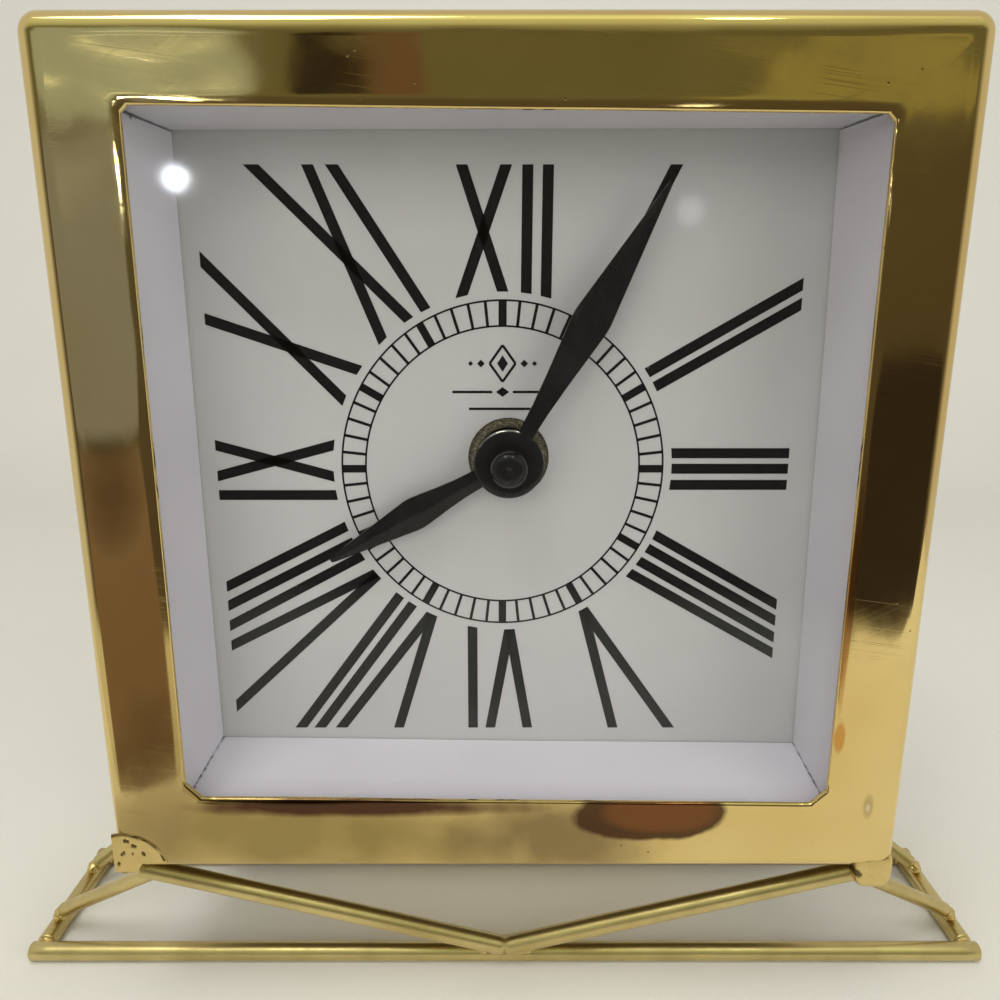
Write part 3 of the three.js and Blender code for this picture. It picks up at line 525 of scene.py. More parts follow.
def hand_lacquer():
    """Black lacquer, with a pale bare-metal arc painted along the upper left rim of the minute hand's boss as a
    painted highlight.
    """
    n = Nodes("hand_lacquer")
    peel = n.noise(700, 3, 0.5)
    smudge = n.noise(90, 4, 0.65)
    base = n.ramp(smudge, (0.35, (0.005, 0.0055, 0.007)), (0.75, (0.012, 0.012, 0.013)))
    across = n.math("SUBTRACT", n.axis("X"), ARBOR.x)
    up = n.math("SUBTRACT", n.axis("Z"), ARBOR.z)
    away = n.math("SQRT", n.math("ADD", n.math("MULTIPLY", across, across), n.math("MULTIPLY", up, up)))
    # Painted highlight: a pale metallic arc on the boss's upper left rim, where the rim catches the light.
    off_rim = n.math("DIVIDE", n.math("ABSOLUTE", n.math("SUBTRACT", away, 6.52 * MM)), MM)
    rim = n.ramp(off_rim, (0.08, 1.0), (0.17, 0.0))
    painted_rim_highlight = n.math("MULTIPLY", rim, n.ramp(n.math("MULTIPLY", up, 100), (0.3, 0.0), (0.6, 1.0)))
    painted_rim_highlight = n.math("MULTIPLY", painted_rim_highlight, n.math("LESS_THAN", across, 2.0 * MM))
    painted_rim_highlight = n.math("MULTIPLY", painted_rim_highlight, n.ramp(n.noise(420, 2), (0.38, 0.25), (0.56, 1.0)))
    base = n.mix(painted_rim_highlight, base, (0.62, 0.61, 0.57))
    n.bumps((peel, 0.000008))
    return n.finish(base_color=base, roughness=n.ramp(smudge, (0.35, 0.06), (0.75, 0.14)), metallic=painted_rim_highlight,
                    specular_ior_level=0.24, coat_weight=0.12, coat_roughness=0.06)


def steel_metal():
    n = Nodes("steel_metal")
    streak = n.noise(1, 4, 0.6, n.scaled(1500, 220, 1500))
    base = n.ramp(streak, (0.3, (0.34, 0.35, 0.36)), (0.7, (0.60, 0.61, 0.62)))
    n.bumps((streak, 0.00002))
    return n.finish(base_color=base, roughness=n.ramp(streak, (0.3, 0.22), (0.7, 0.42)), metallic=1.0)


def copper_wire():
    n = Nodes("copper_wire")
    turns = n.node("ShaderNodeTexWave", {"Vector": n.coords, "Scale": 1400.0, "Distortion": 0.4},
                   bands_direction="X").outputs["Fac"]
    base = n.ramp(turns, (0.1, (0.20, 0.06, 0.025)), (0.7, (0.62, 0.27, 0.13)))
    n.bumps((turns, 0.00012))
    return n.finish(base_color=base, roughness=n.ramp(turns, (0.2, 0.5), (0.8, 0.3)), metallic=1.0)


def black_rubber():
    n = Nodes("black_rubber")
    grain = n.noise(1800, 4, 0.6)
    base = n.ramp(grain, (0.3, (0.012, 0.012, 0.012)), (0.7, (0.04, 0.04, 0.04)))
    n.bumps((grain, 0.00004))
    return n.finish(base_color=base, roughness=n.ramp(grain, (0.3, 0.8), (0.7, 0.95)))


def circuit_green():
    n = Nodes("circuit_green")
    tracks = n.ramp(n.cells(260, feature="DISTANCE_TO_EDGE"), (0.05, 1.0), (0.1, 0.0))
    weave = n.noise(2000, 2)
    base = n.mix(tracks, (0.02, 0.14, 0.05), (0.06, 0.30, 0.11))
    n.bumps((tracks, 0.00003), (weave, 0.00001))
    return n.finish(base_color=base, roughness=n.ramp(weave, (0.3, 0.3), (0.7, 0.5)))


def cell_jacket():
    """A printed jacket with two plain bands along the cell, and steel ends."""
    n = Nodes("cell_jacket")
    along = n.axis("X")
    brush = n.noise(1, 4, 0.6, n.scaled(90, 1200, 1200))
    bands = n.ramp(n.math("ADD", n.math("MULTIPLY", along, 20.0), 0.5, clamp=True),
                   (0.02, (0.62, 0.62, 0.62)), (0.03, (0.045, 0.06, 0.085)), (0.70, (0.045, 0.06, 0.085)),
                   (0.705, (0.62, 0.40, 0.14)), (0.955, (0.62, 0.40, 0.14)), (0.965, (0.62, 0.62, 0.62)))
    base = n.mix(n.ramp(brush, (0.4, 0.0), (0.8, 0.25)), bands, (0.3, 0.3, 0.3))
    n.bumps((brush, 0.00001))
    return n.finish(base_color=base, roughness=n.ramp(brush, (0.3, 0.22), (0.7, 0.36)), metallic=0.6)


POLISHED = polished_brass()
ROD_BRASS = rod_brass()
SHADE_BLACK_BRASS = shade_black_brass()
BRAZE = braze_metal()
GLASS = clear_glass()
LINING = white_lining()
PAPER = dial_paper()
INK = printed_ink()
MDF = fibreboard()
PINE = pine_wood()
HARDBOARD = black_hardboard()
BLACK_PLASTIC = moulded_plastic("black_plastic", (0.012, 0.012, 0.013), (0.03, 0.03, 0.032))
WHITE_PLASTIC = moulded_plastic("white_plastic", (0.62, 0.60, 0.54), (0.76, 0.74, 0.68))
LACQUER = hand_lacquer()
STEEL = steel_metal()
COPPER = copper_wire()
RUBBER = black_rubber()
CIRCUIT = circuit_green()
JACKET = cell_jacket()

CARRIED = {
    "polished_brass": POLISHED, "satin_brass": ROD_BRASS, "braze": BRAZE, "glass": GLASS,
    "white_lining": LINING, "dial_print": PAPER, "fibreboard": MDF, "pine": PINE,
    "black_board": HARDBOARD, "black_plastic": BLACK_PLASTIC, "white_plastic": WHITE_PLASTIC,
    "hand_black": LACQUER, "steel": STEEL, "copper_wire": COPPER, "rubber": RUBBER,
    "circuit_green": CIRCUIT, "cell_jacket": JACKET,
}


def dress_carried_nodes():
    """Every CAD node takes the material of its slot; most are then replaced by finer pieces."""
    for part in frame["record"]["subparts"]:
        obj = frame["nodes"][part["node"]]
        obj.data.materials.clear()
        obj.data.materials.append(CARRIED[part["material_slot"]])


# ---- case --------------------------------------------------------------------------------------------------
ROLL_WIDTH = 2.4                  # millimetres of sheet that roll back round the window
SIDE_STEPS = 44
CORNER_STEPS = 8


def rounded_square(half, corner):
    """Points (x, z) round a square, corner arcs first, starting at the top right."""
    points = []
    inner = half - corner
    for quarter in range(4):
        turn = Matrix.Rotation(math.pi / 2 * quarter, 2)
        for i in range(CORNER_STEPS + 1):
            a = math.pi / 2 * i / CORNER_STEPS
            points.append(turn @ Vector((inner + corner * math.cos(a), inner + corner * math.sin(a))))
        for i in range(1, SIDE_STEPS):
            t = i / SIDE_STEPS
            points.append(turn @ Vector((inner * (1 - 2 * t), half)))
    return points


def window_outline(outset=0.0):
    """The window's outline, moved outwards, with the same count and order of points as rounded_square."""
    corners = [p + Vector((math.copysign(outset, p.x), math.copysign(outset, p.y))) for p in WINDOW]
    points = []
    for corner in (2, 3, 0, 1):
        before, after = corners[corner - 1], corners[(corner + 1) % 4]
        here, clip = corners[corner], WINDOW_CLIPS[corner]
        start = here + (before - here).normalized() * clip
        stop = here + (after - here).normalized() * clip
        points += [start.lerp(stop, i / CORNER_STEPS) for i in range(CORNER_STEPS + 1)]
        beyond = after + (here - after).normalized() * WINDOW_CLIPS[(corner + 1) % 4]
        points += [stop.lerp(beyond, i / SIDE_STEPS) for i in range(1, SIDE_STEPS)]
    return points


def sheet_dent(x, z, y):
    """How far the thin sheet is pressed in, from hammering and polishing."""
    at = Vector((x, y, z)) * 1000
    broad = noise.noise(at / 34 + Vector((3.1, 0, 7.7)))
    local = noise.noise(at / 13 + Vector((8.4, 2.2, 1.3)))
    return (0.16 * (broad + 0.55) + 0.05 * (local + 0.6)) * MM


def window_roll(x, z, out):
    """How far the sheet rolls back beside the window, unevenly round it, at a distance out from its edge."""
    if out > ROLL_WIDTH * MM:
        return 0.0
    where = noise.noise(Vector((x, z, 0)) * 24 + Vector((1.9, 5.2, 0.4)))
    depth = 0.10 + 0.16 * max(0.0, min(1.0, where * 1.8 + 0.35))
    return depth * (1 - out / MM / ROLL_WIDTH) ** 2 * MM


def build_case(bm):
    y_back = CASE_HI.y
    rings = []

    def ring(points, y, dent=1.0, side=False, edge=None):
        made = []
        for i, p in enumerate(points):
            push = sheet_dent(p.x, p.y, y) * dent
            x, z, depth = p.x, p.y, y
            if side:
                reach = max(abs(p.x), abs(p.y))
                x, z = p.x * (reach - push) / reach, p.y * (reach - push) / reach
            else:
                depth = y + push
                if edge:
                    depth += window_roll(x, z, (p - edge[i]).length)
            made.append(bm.verts.new((CENTRE.x + x, depth, CENTRE.z + z)))
        rings.append(made)

    window = window_outline()
    eased = window_outline(0.3 * MM)
    fold_start = rounded_square(CASE_HALF - FOLD, CORNER - FOLD)
    ring(window, FRONT + SHEET * 0.8, 0.5, edge=window)
    ring(window, FRONT + 0.26 * MM, 0.5, edge=window)
    ring([p.lerp(q, 0.35) for p, q in zip(window, eased)], FRONT + 0.07 * MM, 0.6, edge=window)
    for share in (0.0, 0.02, 0.045, 0.075, 0.11, 0.15, 0.19, 0.25, 0.35, 0.45, 0.55, 0.65, 0.75, 0.87, 1.0):
        ring([p.lerp(q, share) for p, q in zip(eased, fold_start)], FRONT,
             0.8 + 0.4 * math.sin(math.pi * share) - 0.5 * share ** 4, edge=window)
    fold_steps = 8
    for i in range(1, fold_steps + 1):
        a = math.pi / 2 * i / fold_steps
        inset = FOLD * (1 - math.sin(a))
        depth = FRONT + FOLD * (1 - math.cos(a))
        ring(rounded_square(CASE_HALF - inset, max(CORNER - inset, 0.05 * MM)), depth,
             0.3 if i < fold_steps else 0.15, side=i > fold_steps / 2)
    outer = rounded_square(CASE_HALF, CORNER)
    side_rows = 12
    for i in range(1, side_rows + 1):
        t = i / side_rows
        depth = FRONT + FOLD + t * (y_back - 0.25 * MM - FRONT - FOLD)
        ring(outer, depth, 0.15 + 0.9 * math.sin(math.pi * t), side=True)
    ring(rounded_square(CASE_HALF - 0.2 * MM, CORNER), y_back - 0.04 * MM, 0.1, side=True)
    ring(rounded_square(CASE_HALF - SHEET + 0.2 * MM, CORNER - SHEET), y_back - 0.04 * MM, 0.1, side=True)
    inner = rounded_square(CASE_HALF - SHEET, CORNER - SHEET)
    for i in range(side_rows, 0, -1):
        t = i / side_rows
        depth = FRONT + FOLD + t * (y_back - 0.25 * MM - FRONT - FOLD)
        ring(inner, depth, 0.15 + 0.9 * math.sin(math.pi * t), side=True)
    ring(rounded_square(CASE_HALF - FOLD, 0.6 * MM), FRONT + SHEET + 0.3 * MM, 0.3)
    grid_faces(bm, rings, close_ends=True)


def make_case():
    case = new_object("case_visual", build_case, POLISHED, 50)
    place(case, "root", "polished_brass", "case_shell")


def make_glass():
    pane = refined("front_glass_visual", "front_glass", GLASS, 0.4 * MM)
    place(pane, "root", "glass", "front_glass")


STRIP_ENDS = {"top": (3, 2), "bottom": (0, 1), "left": (0, 3), "right": (1, 2)}


def make_liners():
    """Four strips of card, each leaning from the glass to the dial and bulging a little."""
    steps, across = 40, 10
    ease = 0.25 * MM
    for side, (first, last) in STRIP_ENDS.items():
        node = f"liner_{side}"
        lo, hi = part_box(node)
        upright = side in ("left", "right")
        away = Vector((1, 0) if upright else (0, 1)) * (1 if side in ("top", "right") else -1)
        long = Vector((0, 1) if upright else (1, 0))
        past = -0.3 * MM if upright else LINER
        section = [(0.0, ease), (ease * 0.3 / (hi.y - lo.y), ease * 0.3)]
        section += [(0.02 + 0.98 * i / across, 0.0) for i in range(across + 1)]
        section += [(1.0, LINER), (0.0, LINER)]

        def build(bm, first=first, last=last, lo=lo, hi=hi, away=away, long=long, past=past, section=section):
            rings = []
            for i in range(steps + 1):
                t = i / steps
                verts = []
                for depth, out in section:
                    low = AT_GLASS[first].lerp(AT_DIAL[first], depth) - long * past
                    high = AT_GLASS[last].lerp(AT_DIAL[last], depth) + long * past
                    p = low.lerp(high, t)
                    if out == 0.0:
                        bulge = noise.noise(Vector((t * 2.8, depth * 1.1, away.x * 2.4 + away.y * 5.1))) + 0.6
                        p += away * 0.12 * MM * bulge * math.sin(math.pi * t) ** 0.5
                    p += away * out
                    verts.append(bm.verts.new((CENTRE.x + p.x, lo.y + (hi.y - lo.y) * depth, CENTRE.z + p.y)))
                rings.append(verts)
            grid_faces(bm, rings)
            bm.faces.new(rings[0])
            bm.faces.new(rings[-1][::-1])

        strip = new_object(f"{node}_visual", build, LINING, 40)
        place(strip, "root", "white_lining", node)


# ---- dial ----------------------------------------------------------------------------------------------------
PRINT_X, PRINT_Z = -0.5 * MM, CENTRE.z - 0.65 * MM
PRINT_HALF = 57.0 * MM
INK_THICK = 0.04 * MM
STROKE = 2.04 * MM
NUMERAL_X, NUMERAL_Z = 33.75 * MM, 34.35 * MM       # the numerals' inner ends lie on this oval
RING_X, RING_Z = 31.95 * MM, 32.75 * MM             # outer line of the minute track
TRACK = 0.853                                       # inner line over outer line
LINE = 0.36 * MM

# Each stroke's centre line from its outer end to its inner end, millimetres right and up.
NUMERALS = {
    "XII": [((-7.57, 57.0), (0.07, 34.2)), ((0.65, 57.0), (-7.85, 33.3)),
            ((4.62, 57.0), (4.48, 34.0)), ((8.4, 57.0), (8.25, 33.3))],
    "I": [((32.0, 57.0), (18.2, 29.5))],
    "II": [((57.1, 35.8), (28.1, 19.0)), ((57.1, 32.1), (29.7, 16.3))],
    "III": [((57.0, 3.15), (33.6, 3.15)), ((57.0, 0.0), (33.6, 0.0)), ((57.0, -3.3), (33.6, -3.3))],
    "IIII": [((57.0, -28.8), (30.9, -13.7)), ((56.9, -32.35), (29.55, -16.5)),
             ((56.8, -36.0), (27.85, -19.2)), ((56.8, -39.55), (26.0, -21.8))],
    "V": [((23.8, -57.0), (16.8, -30.0)), ((35.85, -57.0), (16.7, -29.6))],
    "VI": [((-6.3, -57.0), (-6.25, -34.0)), ((-2.6, -57.0), (1.4, -34.4)), ((5.4, -57.0), (1.55, -34.4))],
    "VII": [((-43.4, -57.0), (-21.25, -26.8)), ((-39.3, -57.0), (-18.8, -28.9)),
            ((-34.7, -57.0), (-14.9, -30.9)), ((-22.3, -57.0), (-14.55, -31.2))],
    "VIII": [((-57.1, -24.95), (-31.6, -11.9)), ((-57.1, -29.15), (-30.3, -15.2)),
             ((-57.1, -33.6), (-28.7, -18.2)), ((-57.0, -38.0), (-26.1, -22.0)),
             ((-57.0, -51.9), (-25.7, -22.4))],
    "IX": [((-57.1, 4.8), (-33.7, -1.6)), ((-57.1, -1.55), (-33.4, 4.8)), ((-57.1, -5.4), (-33.3, -5.4))],
    "X": [((-56.9, 40.2), (-31.15, 13.75)), ((-57.1, 29.3), (-27.7, 19.45))],
    "XI": [((-46.2, 56.9), (-18.0, 29.1)), ((-35.9, 56.9), (-23.0, 24.95)), ((-31.4, 56.9), (-14.7, 30.95))],
}


def oval_point(origin, direction, rx, rz):
    """Where a line from outside first meets the oval, as a distance along the direction."""
    a = (direction.x / rx) ** 2 + (direction.y / rz) ** 2
    b = 2 * (origin.x * direction.x / rx ** 2 + origin.y * direction.y / rz ** 2)
    c = (origin.x / rx) ** 2 + (origin.y / rz) ** 2 - 1
    root = max(b * b - 4 * a * c, 0.0)
    return (-b - math.sqrt(root)) / (2 * a)


def square_exit(origin, direction):
    """How far a line runs before it leaves the numerals' square."""
    reach = [abs((math.copysign(PRINT_HALF, direction[i]) - origin[i]) / direction[i])
             for i in (0, 1) if abs(direction[i]) > 1e-6]
    return min(reach)


def ink_polygon(bm, corners):
    """A raised flat of ink over a convex outline given in print coordinates."""
    rim = [bm.verts.new((PRINT_X + p.x, DIAL_FACE - 0.001 * MM, PRINT_Z + p.y)) for p in corners]
    top = [bm.verts.new((v.co.x, DIAL_FACE - INK_THICK, v.co.z)) for v in rim]
    bm.faces.new(top)
    bm.faces.new(rim[::-1])
    for i in range(len(rim)):
        k = (i + 1) % len(rim)
        bm.faces.new((rim[i], rim[k], top[k], top[i]))


def ink_stroke(bm, outer, inner):
    """One bar of a numeral, ended by the numerals' square outside and their oval inside."""
    start, end = Vector(inner) * MM, Vector(outer) * MM
    run = (end - start).normalized()
    side = Vector((-run.y, run.x)) * STROKE / 2
    corners = []
    for sign in (1, -1):
        middle = (start + end) / 2 + side * sign
        back = oval_point(end + side * sign, -run, NUMERAL_X, NUMERAL_Z)
        near = end + side * sign - run * back
        far = middle + run * square_exit(middle, run)
        corners.append((near, far))
    (near_a, far_a), (near_b, far_b) = corners
    ink_polygon(bm, [near_a, far_a, far_b, near_b])


def ink_oval(bm, rx, rz, width, steps=240):
    """A line of ink round an oval."""
    rings = []
    for i in range(steps):
        a = 2 * math.pi * i / steps
        ring = []
        for offset, y in ((-0.5, -0.001 * MM), (-0.5, -INK_THICK), (0.5, -INK_THICK), (0.5, -0.001 * MM)):
            x = (rx + offset * width) * math.cos(a)
            z = (rz + offset * width) * math.sin(a)
            ring.append(bm.verts.new((PRINT_X + x, DIAL_FACE + y, PRINT_Z + z)))
        rings.append(ring)
    grid_faces(bm, rings, close_ends=True)


def ink_bar(bm, a, b, width):
    run = (b - a).normalized()
    side = Vector((-run.y, run.x)) * width / 2
    ink_polygon(bm, [a + side, b + side, b - side, a - side])


def minute_track(bm):
    ink_oval(bm, RING_X, RING_Z, LINE)
    ink_oval(bm, RING_X * TRACK, RING_Z * TRACK, LINE)
    for i in range(60):
        a = 2 * math.pi * i / 60
        direction = Vector((math.sin(a) * RING_X, math.cos(a) * RING_Z))
        ink_bar(bm, direction * TRACK, direction, 1.55 * MM if i % 5 == 0 else 0.58 * MM)


def ornament(bm):
    """A plain lozenge between two pairs of dots over two rules, above the centre."""
    top = Vector((0, 20.8)) * MM
    ring = [top + Vector(v) * MM for v in ((0, 3.5), (2.5, 0), (0, -3.5), (-2.5, 0))]
    for i in range(4):
        ink_bar(bm, ring[i], ring[(i + 1) % 4], 0.5 * MM)
    lozenge(bm, top, 1.05, 1.6)
    for sign in (-1, 1):
        lozenge(bm, top + Vector((sign * 4.2, 0)) * MM, 0.75, 0.75)
        lozenge(bm, top + Vector((sign * 6.2, 0)) * MM, 0.5, 0.5)
    for level, reach, gap in ((15.3, 9.8, 2.0), (12.0, 6.6, 0.0)):
        for sign in (-1, 1):
            ink_bar(bm, Vector((sign * gap, level)) * MM, Vector((sign * reach, level)) * MM, 0.5 * MM)
    lozenge(bm, Vector((0, 15.3)) * MM, 1.3, 0.95)


def lozenge(bm, centre, wide, high):
    ink_polygon(bm, [centre + Vector(v) * MM for v in ((0, high), (wide, 0), (0, -high), (-wide, 0))])


def make_print():
    def numerals(bm):
        for strokes in NUMERALS.values():
            for outer, inner in strokes:
                ink_stroke(bm, outer, inner)
        minute_track(bm)
        ornament(bm)

    print_piece = new_object("dial_ink", numerals, INK, 30)
    place(print_piece, "root", "dial_print")


def make_card():
    lo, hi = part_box("dial_card")

    def build(bm):
        outer = rounded_square((hi.x - lo.x) / 2, 3.0 * MM)
        count = len(outer)
        rings = []
        for share, y in ((1.0, hi.y), (1.0, lo.y), (0.6, lo.y), (0.25, lo.y), (0.0, lo.y), (0.0, hi.y)):
            ring = []
            for i in range(count):
                a = math.atan2(outer[i].y, outer[i].x)
                rim = Vector((ARBOR.x - CENTRE.x, ARBOR.z - CENTRE.z))
                rim += Vector((math.cos(a), math.sin(a))) * CARD_HOLE
                if share == 0:
                    rim *= 1 + 0.004 * noise.noise(Vector((a * 9, 1.5, y * 900)))
                p = rim.lerp(outer[i], share)
                ring.append(bm.verts.new((CENTRE.x + p.x, y, CENTRE.z + p.y)))
            rings.append(ring)
        grid_faces(bm, rings, close_ends=True)

    card = new_object("dial_card_visual", build, PAPER, 40)
    place(card, "root", "dial_print", "dial_card")


# ---- hub ---------------------------------------------------------------------------------------------------
def eased_ring(lo, hi, inner, outer, ease):
    """A turned profile of a washer between two levels, with eased edges."""
    return [(inner + ease, lo), (outer - ease, lo), (outer, lo + ease), (outer, hi - ease),
            (outer - ease, hi), (inner + ease, hi), (inner, hi - ease), (inner, lo + ease), (inner + ease, lo)]


def turned_piece(name, profile, material, body, slot, *nodes, centre=None, segments=96, ripple=None):
    at = centre or ARBOR
    obj = new_object(name, lambda bm: lathe(bm, profile, segments, at, ripple), material, 40)
    bmesh_clean(obj)
    return place(obj, body, slot, *nodes)


def bmesh_clean(obj):
    """Joins a profile's last ring to its first where they meet."""
    bm = bmesh.new()
    bm.from_mesh(obj.data)
    bmesh.ops.remove_doubles(bm, verts=bm.verts, dist=1e-7)
    bmesh.ops.recalc_face_normals(bm, faces=bm.faces)
    bm.to_mesh(obj.data)
    bm.free()


def make_hub():
    lo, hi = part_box("brass_washer")
    # The washer and nut take the nearly black brass, a painted shade for the dark hole round the hub.
    turned_piece("brass_washer_visual", eased_ring(lo.y, hi.y, 4.3 * MM, 6.1 * MM, 0.12 * MM), SHADE_BLACK_BRASS,
                 "root", "satin_brass", "brass_washer")
    nut = refined("hex_nut_visual", "hex_nut", SHADE_BLACK_BRASS, 0.3 * MM)
    place(nut, "root", "satin_brass", "hex_nut")
    lo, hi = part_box("rubber_washer")
    turned_piece("rubber_washer_visual", eased_ring(lo.y, hi.y, 4.3 * MM, 9.0 * MM, 0.2 * MM), RUBBER,
                 "root", "rubber", "rubber_washer")


# ---- hands -------------------------------------------------------------------------------------------------
MINUTE_ANGLE = math.radians(29.4)
HOUR_ANGLE = math.radians(240.5)
MINUTE_OUTLINE = [(5.5, 1.5), (7, 1.5), (12, 1.72), (18, 2.25), (24, 2.92), (28.5, 3.42), (30.3, 3.58), (31, 3.6),
                  (31.8, 3.56), (33.5, 3.36), (38, 2.82), (44, 2.1), (50, 1.38), (55, 0.78), (57.6, 0.48),
                  (58.3, 0.28)]
HOUR_OUTLINE = [(3.9, 1.9), (8, 1.9), (11, 2.05), (15, 2.48), (18.6, 2.98), (20.6, 3.22), (21.3, 3.25),
                (22.2, 3.2), (25, 2.8), (30, 2.1), (35, 1.4), (39, 0.85), (40.3, 0.62), (40.8, 0.36)]


def hand_blade(bm, outline, angle, front, back):
    """A pressed hand with a raised middle line: thin at its edges, full thickness along the ridge."""
    along_axis = Vector((math.sin(angle), 0, math.cos(angle)))
    across_axis = Vector((math.cos(angle), 0, -math.sin(angle)))
    edge_front = front + 0.45 * (back - front)
    rings = []
    for along, half in outline:
        ridge = front if half > 0.7 else front + 0.2 * (back - front)
        section = [(-half, edge_front), (-half * 0.97, edge_front - 0.05 * MM), (-0.16, ridge + 0.02 * MM),
                   (0.16, ridge + 0.02 * MM), (half * 0.97, edge_front - 0.05 * MM), (half, edge_front),
                   (half, back), (-half, back)]
        rings.append([
            bm.verts.new(Vector((ARBOR.x, y, ARBOR.z)) + (along * along_axis + x * across_axis) * MM)
            for x, y in section
        ])
    grid_faces(bm, rings)
    bm.faces.new(rings[0])
    bm.faces.new(rings[-1][::-1])


def make_hands():
    lo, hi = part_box("minute_hand")
    blade = new_object("minute_blade", lambda bm: hand_blade(bm, MINUTE_OUTLINE, MINUTE_ANGLE, lo.y, hi.y),
                       LACQUER, 20)
    place(blade, "minute", "hand_black", "minute_hand")
    profile = [(1.9 * MM, lo.y + 0.08 * MM), (5.2 * MM, lo.y), (6.1 * MM, lo.y + 0.02 * MM),
               (6.5 * MM, lo.y + 0.12 * MM), (6.67 * MM, lo.y + 0.28 * MM), (6.7 * MM, lo.y + 0.45 * MM),
               (6.68 * MM, hi.y - 0.06 * MM), (6.6 * MM, hi.y), (1.9 * MM, hi.y), (1.9 * MM, lo.y + 0.08 * MM)]
    turned_piece("minute_boss", profile, LACQUER, "minute", "hand_black")

    lo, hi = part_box("hour_hand")
    blade = new_object("hour_blade", lambda bm: hand_blade(bm, HOUR_OUTLINE, HOUR_ANGLE, lo.y, hi.y),
                       LACQUER, 20)
    place(blade, "hour", "hand_black", "hour_hand")
    turned_piece("hour_boss", eased_ring(lo.y, hi.y, 2.95 * MM, 5.0 * MM, 0.15 * MM), LACQUER, "hour",
                 "hand_black")

    lo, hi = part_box("hand_cap")
    cap = [(0, lo.y + 0.14 * MM), (0.3 * MM, lo.y + 0.1 * MM), (0.6 * MM, lo.y + 0.02 * MM),
           (1.4 * MM, lo.y), (1.9 * MM, lo.y + 0.01 * MM), (2.3 * MM, lo.y + 0.09 * MM),
           (2.6 * MM, lo.y + 0.23 * MM), (2.85 * MM, lo.y + 0.4 * MM), (3.1 * MM, lo.y + 0.63 * MM),
           (3.28 * MM, lo.y + 0.88 * MM), (3.42 * MM, lo.y + 1.25 * MM), (3.51 * MM, lo.y + 1.8 * MM),
           (3.55 * MM, lo.y + 2.5 * MM), (3.55 * MM, lo.y + 3.4 * MM), (3.38 * MM, lo.y + 3.75 * MM),
           (3.38 * MM, hi.y - 0.7 * MM), (3.55 * MM, hi.y - 0.35 * MM), (3.5 * MM, hi.y),
           (1.95 * MM, hi.y), (1.95 * MM, lo.y + 3.6 * MM), (0, lo.y + 3.6 * MM)]
    turned_piece("hand_cap_visual", cap, LACQUER, "minute", "hand_black", "hand_cap")


# ---- base ----------------------------------------------------------------------------------------------------
STRUT_TOP = Vector((73.4, -24.65, 30.0)) * MM
STRUT_FOOT = Vector((0.15, -18.45, 5.55)) * MM
SIDE_TOP = Vector((69.3, -20.3, 27.2)) * MM
SIDE_FOOT = Vector((100.4, -8.0, 5.95)) * MM


def rod_piece(name, start, end, radius, tag, node):
    points, radii = rod_path(start, end, radius, tag)
    obj = new_object(name, lambda bm: tube(bm, points, radii), ROD_BRASS, 50)
    return place(obj, "root", "satin_brass", node)


def make_rails():
    for tag, name in enumerate(("front", "back", "left", "right")):
        lo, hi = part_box(f"rail_{name}")
        middle = (lo + hi) / 2
        if name in ("front", "back"):
            ends = (Vector((lo.x, middle.y, ROD)), Vector((hi.x, middle.y, ROD)))
        else:
            ends = (Vector((middle.x, lo.y, ROD)), Vector((middle.x, hi.y, ROD)))
        points, radii = rod_path(*ends, ROD, tag + 1.7, bow=0.0)
        obj = new_object(f"rail_{name}_visual", lambda bm, p=points, r=radii: tube(bm, p, r), ROD_BRASS, 50)
        place(obj, "root", "satin_brass", f"rail_{name}")


def make_struts():
    for end, sy in (("front", 1), ("back", -1)):
        for hand, sx in (("left", -1), ("right", 1)):
            flip = Matrix.Diagonal((sx, sy, 1))
            tag = 3.3 * sx + 5.1 * sy
            rod_piece(f"strut_{end}_{hand}_visual", flip @ STRUT_TOP, flip @ STRUT_FOOT, ROD, tag,
                      f"strut_{end}_{hand}")
            rod_piece(f"strut_side_{end}_{hand}_visual", flip @ SIDE_TOP, flip @ SIDE_FOOT, SIDE_ROD,
                      tag + 1, f"strut_side_{end}_{hand}")


def blob(bm, centre, size, tag, rough=0.18, square=2.0):
    """A lump of run metal: a ball, or a rounded block, pushed about by noise inside the clock's box."""
    made = bmesh.ops.create_icosphere(bm, subdivisions=4, radius=1)
    for v in made["verts"]:
        bump = 1 + rough * noise.noise(v.co * 1.7 + Vector((tag, 0, 0)))
        bump += rough * 0.5 * noise.noise(v.co * 4.1 + Vector((0, tag, 0)))
        bump /= sum(abs(c) ** square for c in v.co) ** (1 / square)
        at = Vector(c + d * s * bump for c, d, s in zip(centre, v.co, size)) * MM
        v.co = [min(max(at[i], CAD_BOUNDS[0][i] + EDGE_GAP), CAD_BOUNDS[1][i] - EDGE_GAP) for i in range(3)]


def soot_marks(obj, spots):
    """Marks soot on a mesh: spots are x, z, radius in millimetres, with a strength."""
    soot = obj.data.attributes.new("soot", "FLOAT", "POINT")
    for i, v in enumerate(obj.data.vertices):
        value = 0.0
        for x, z, radius, strength in spots:
            apart = math.hypot(v.co.x / MM - x, v.co.z / MM - z) / radius
            value = max(value, strength * max(0.0, 1.6 - apart) / 1.6)
        soot.data[i].value = min(value, 1.0)


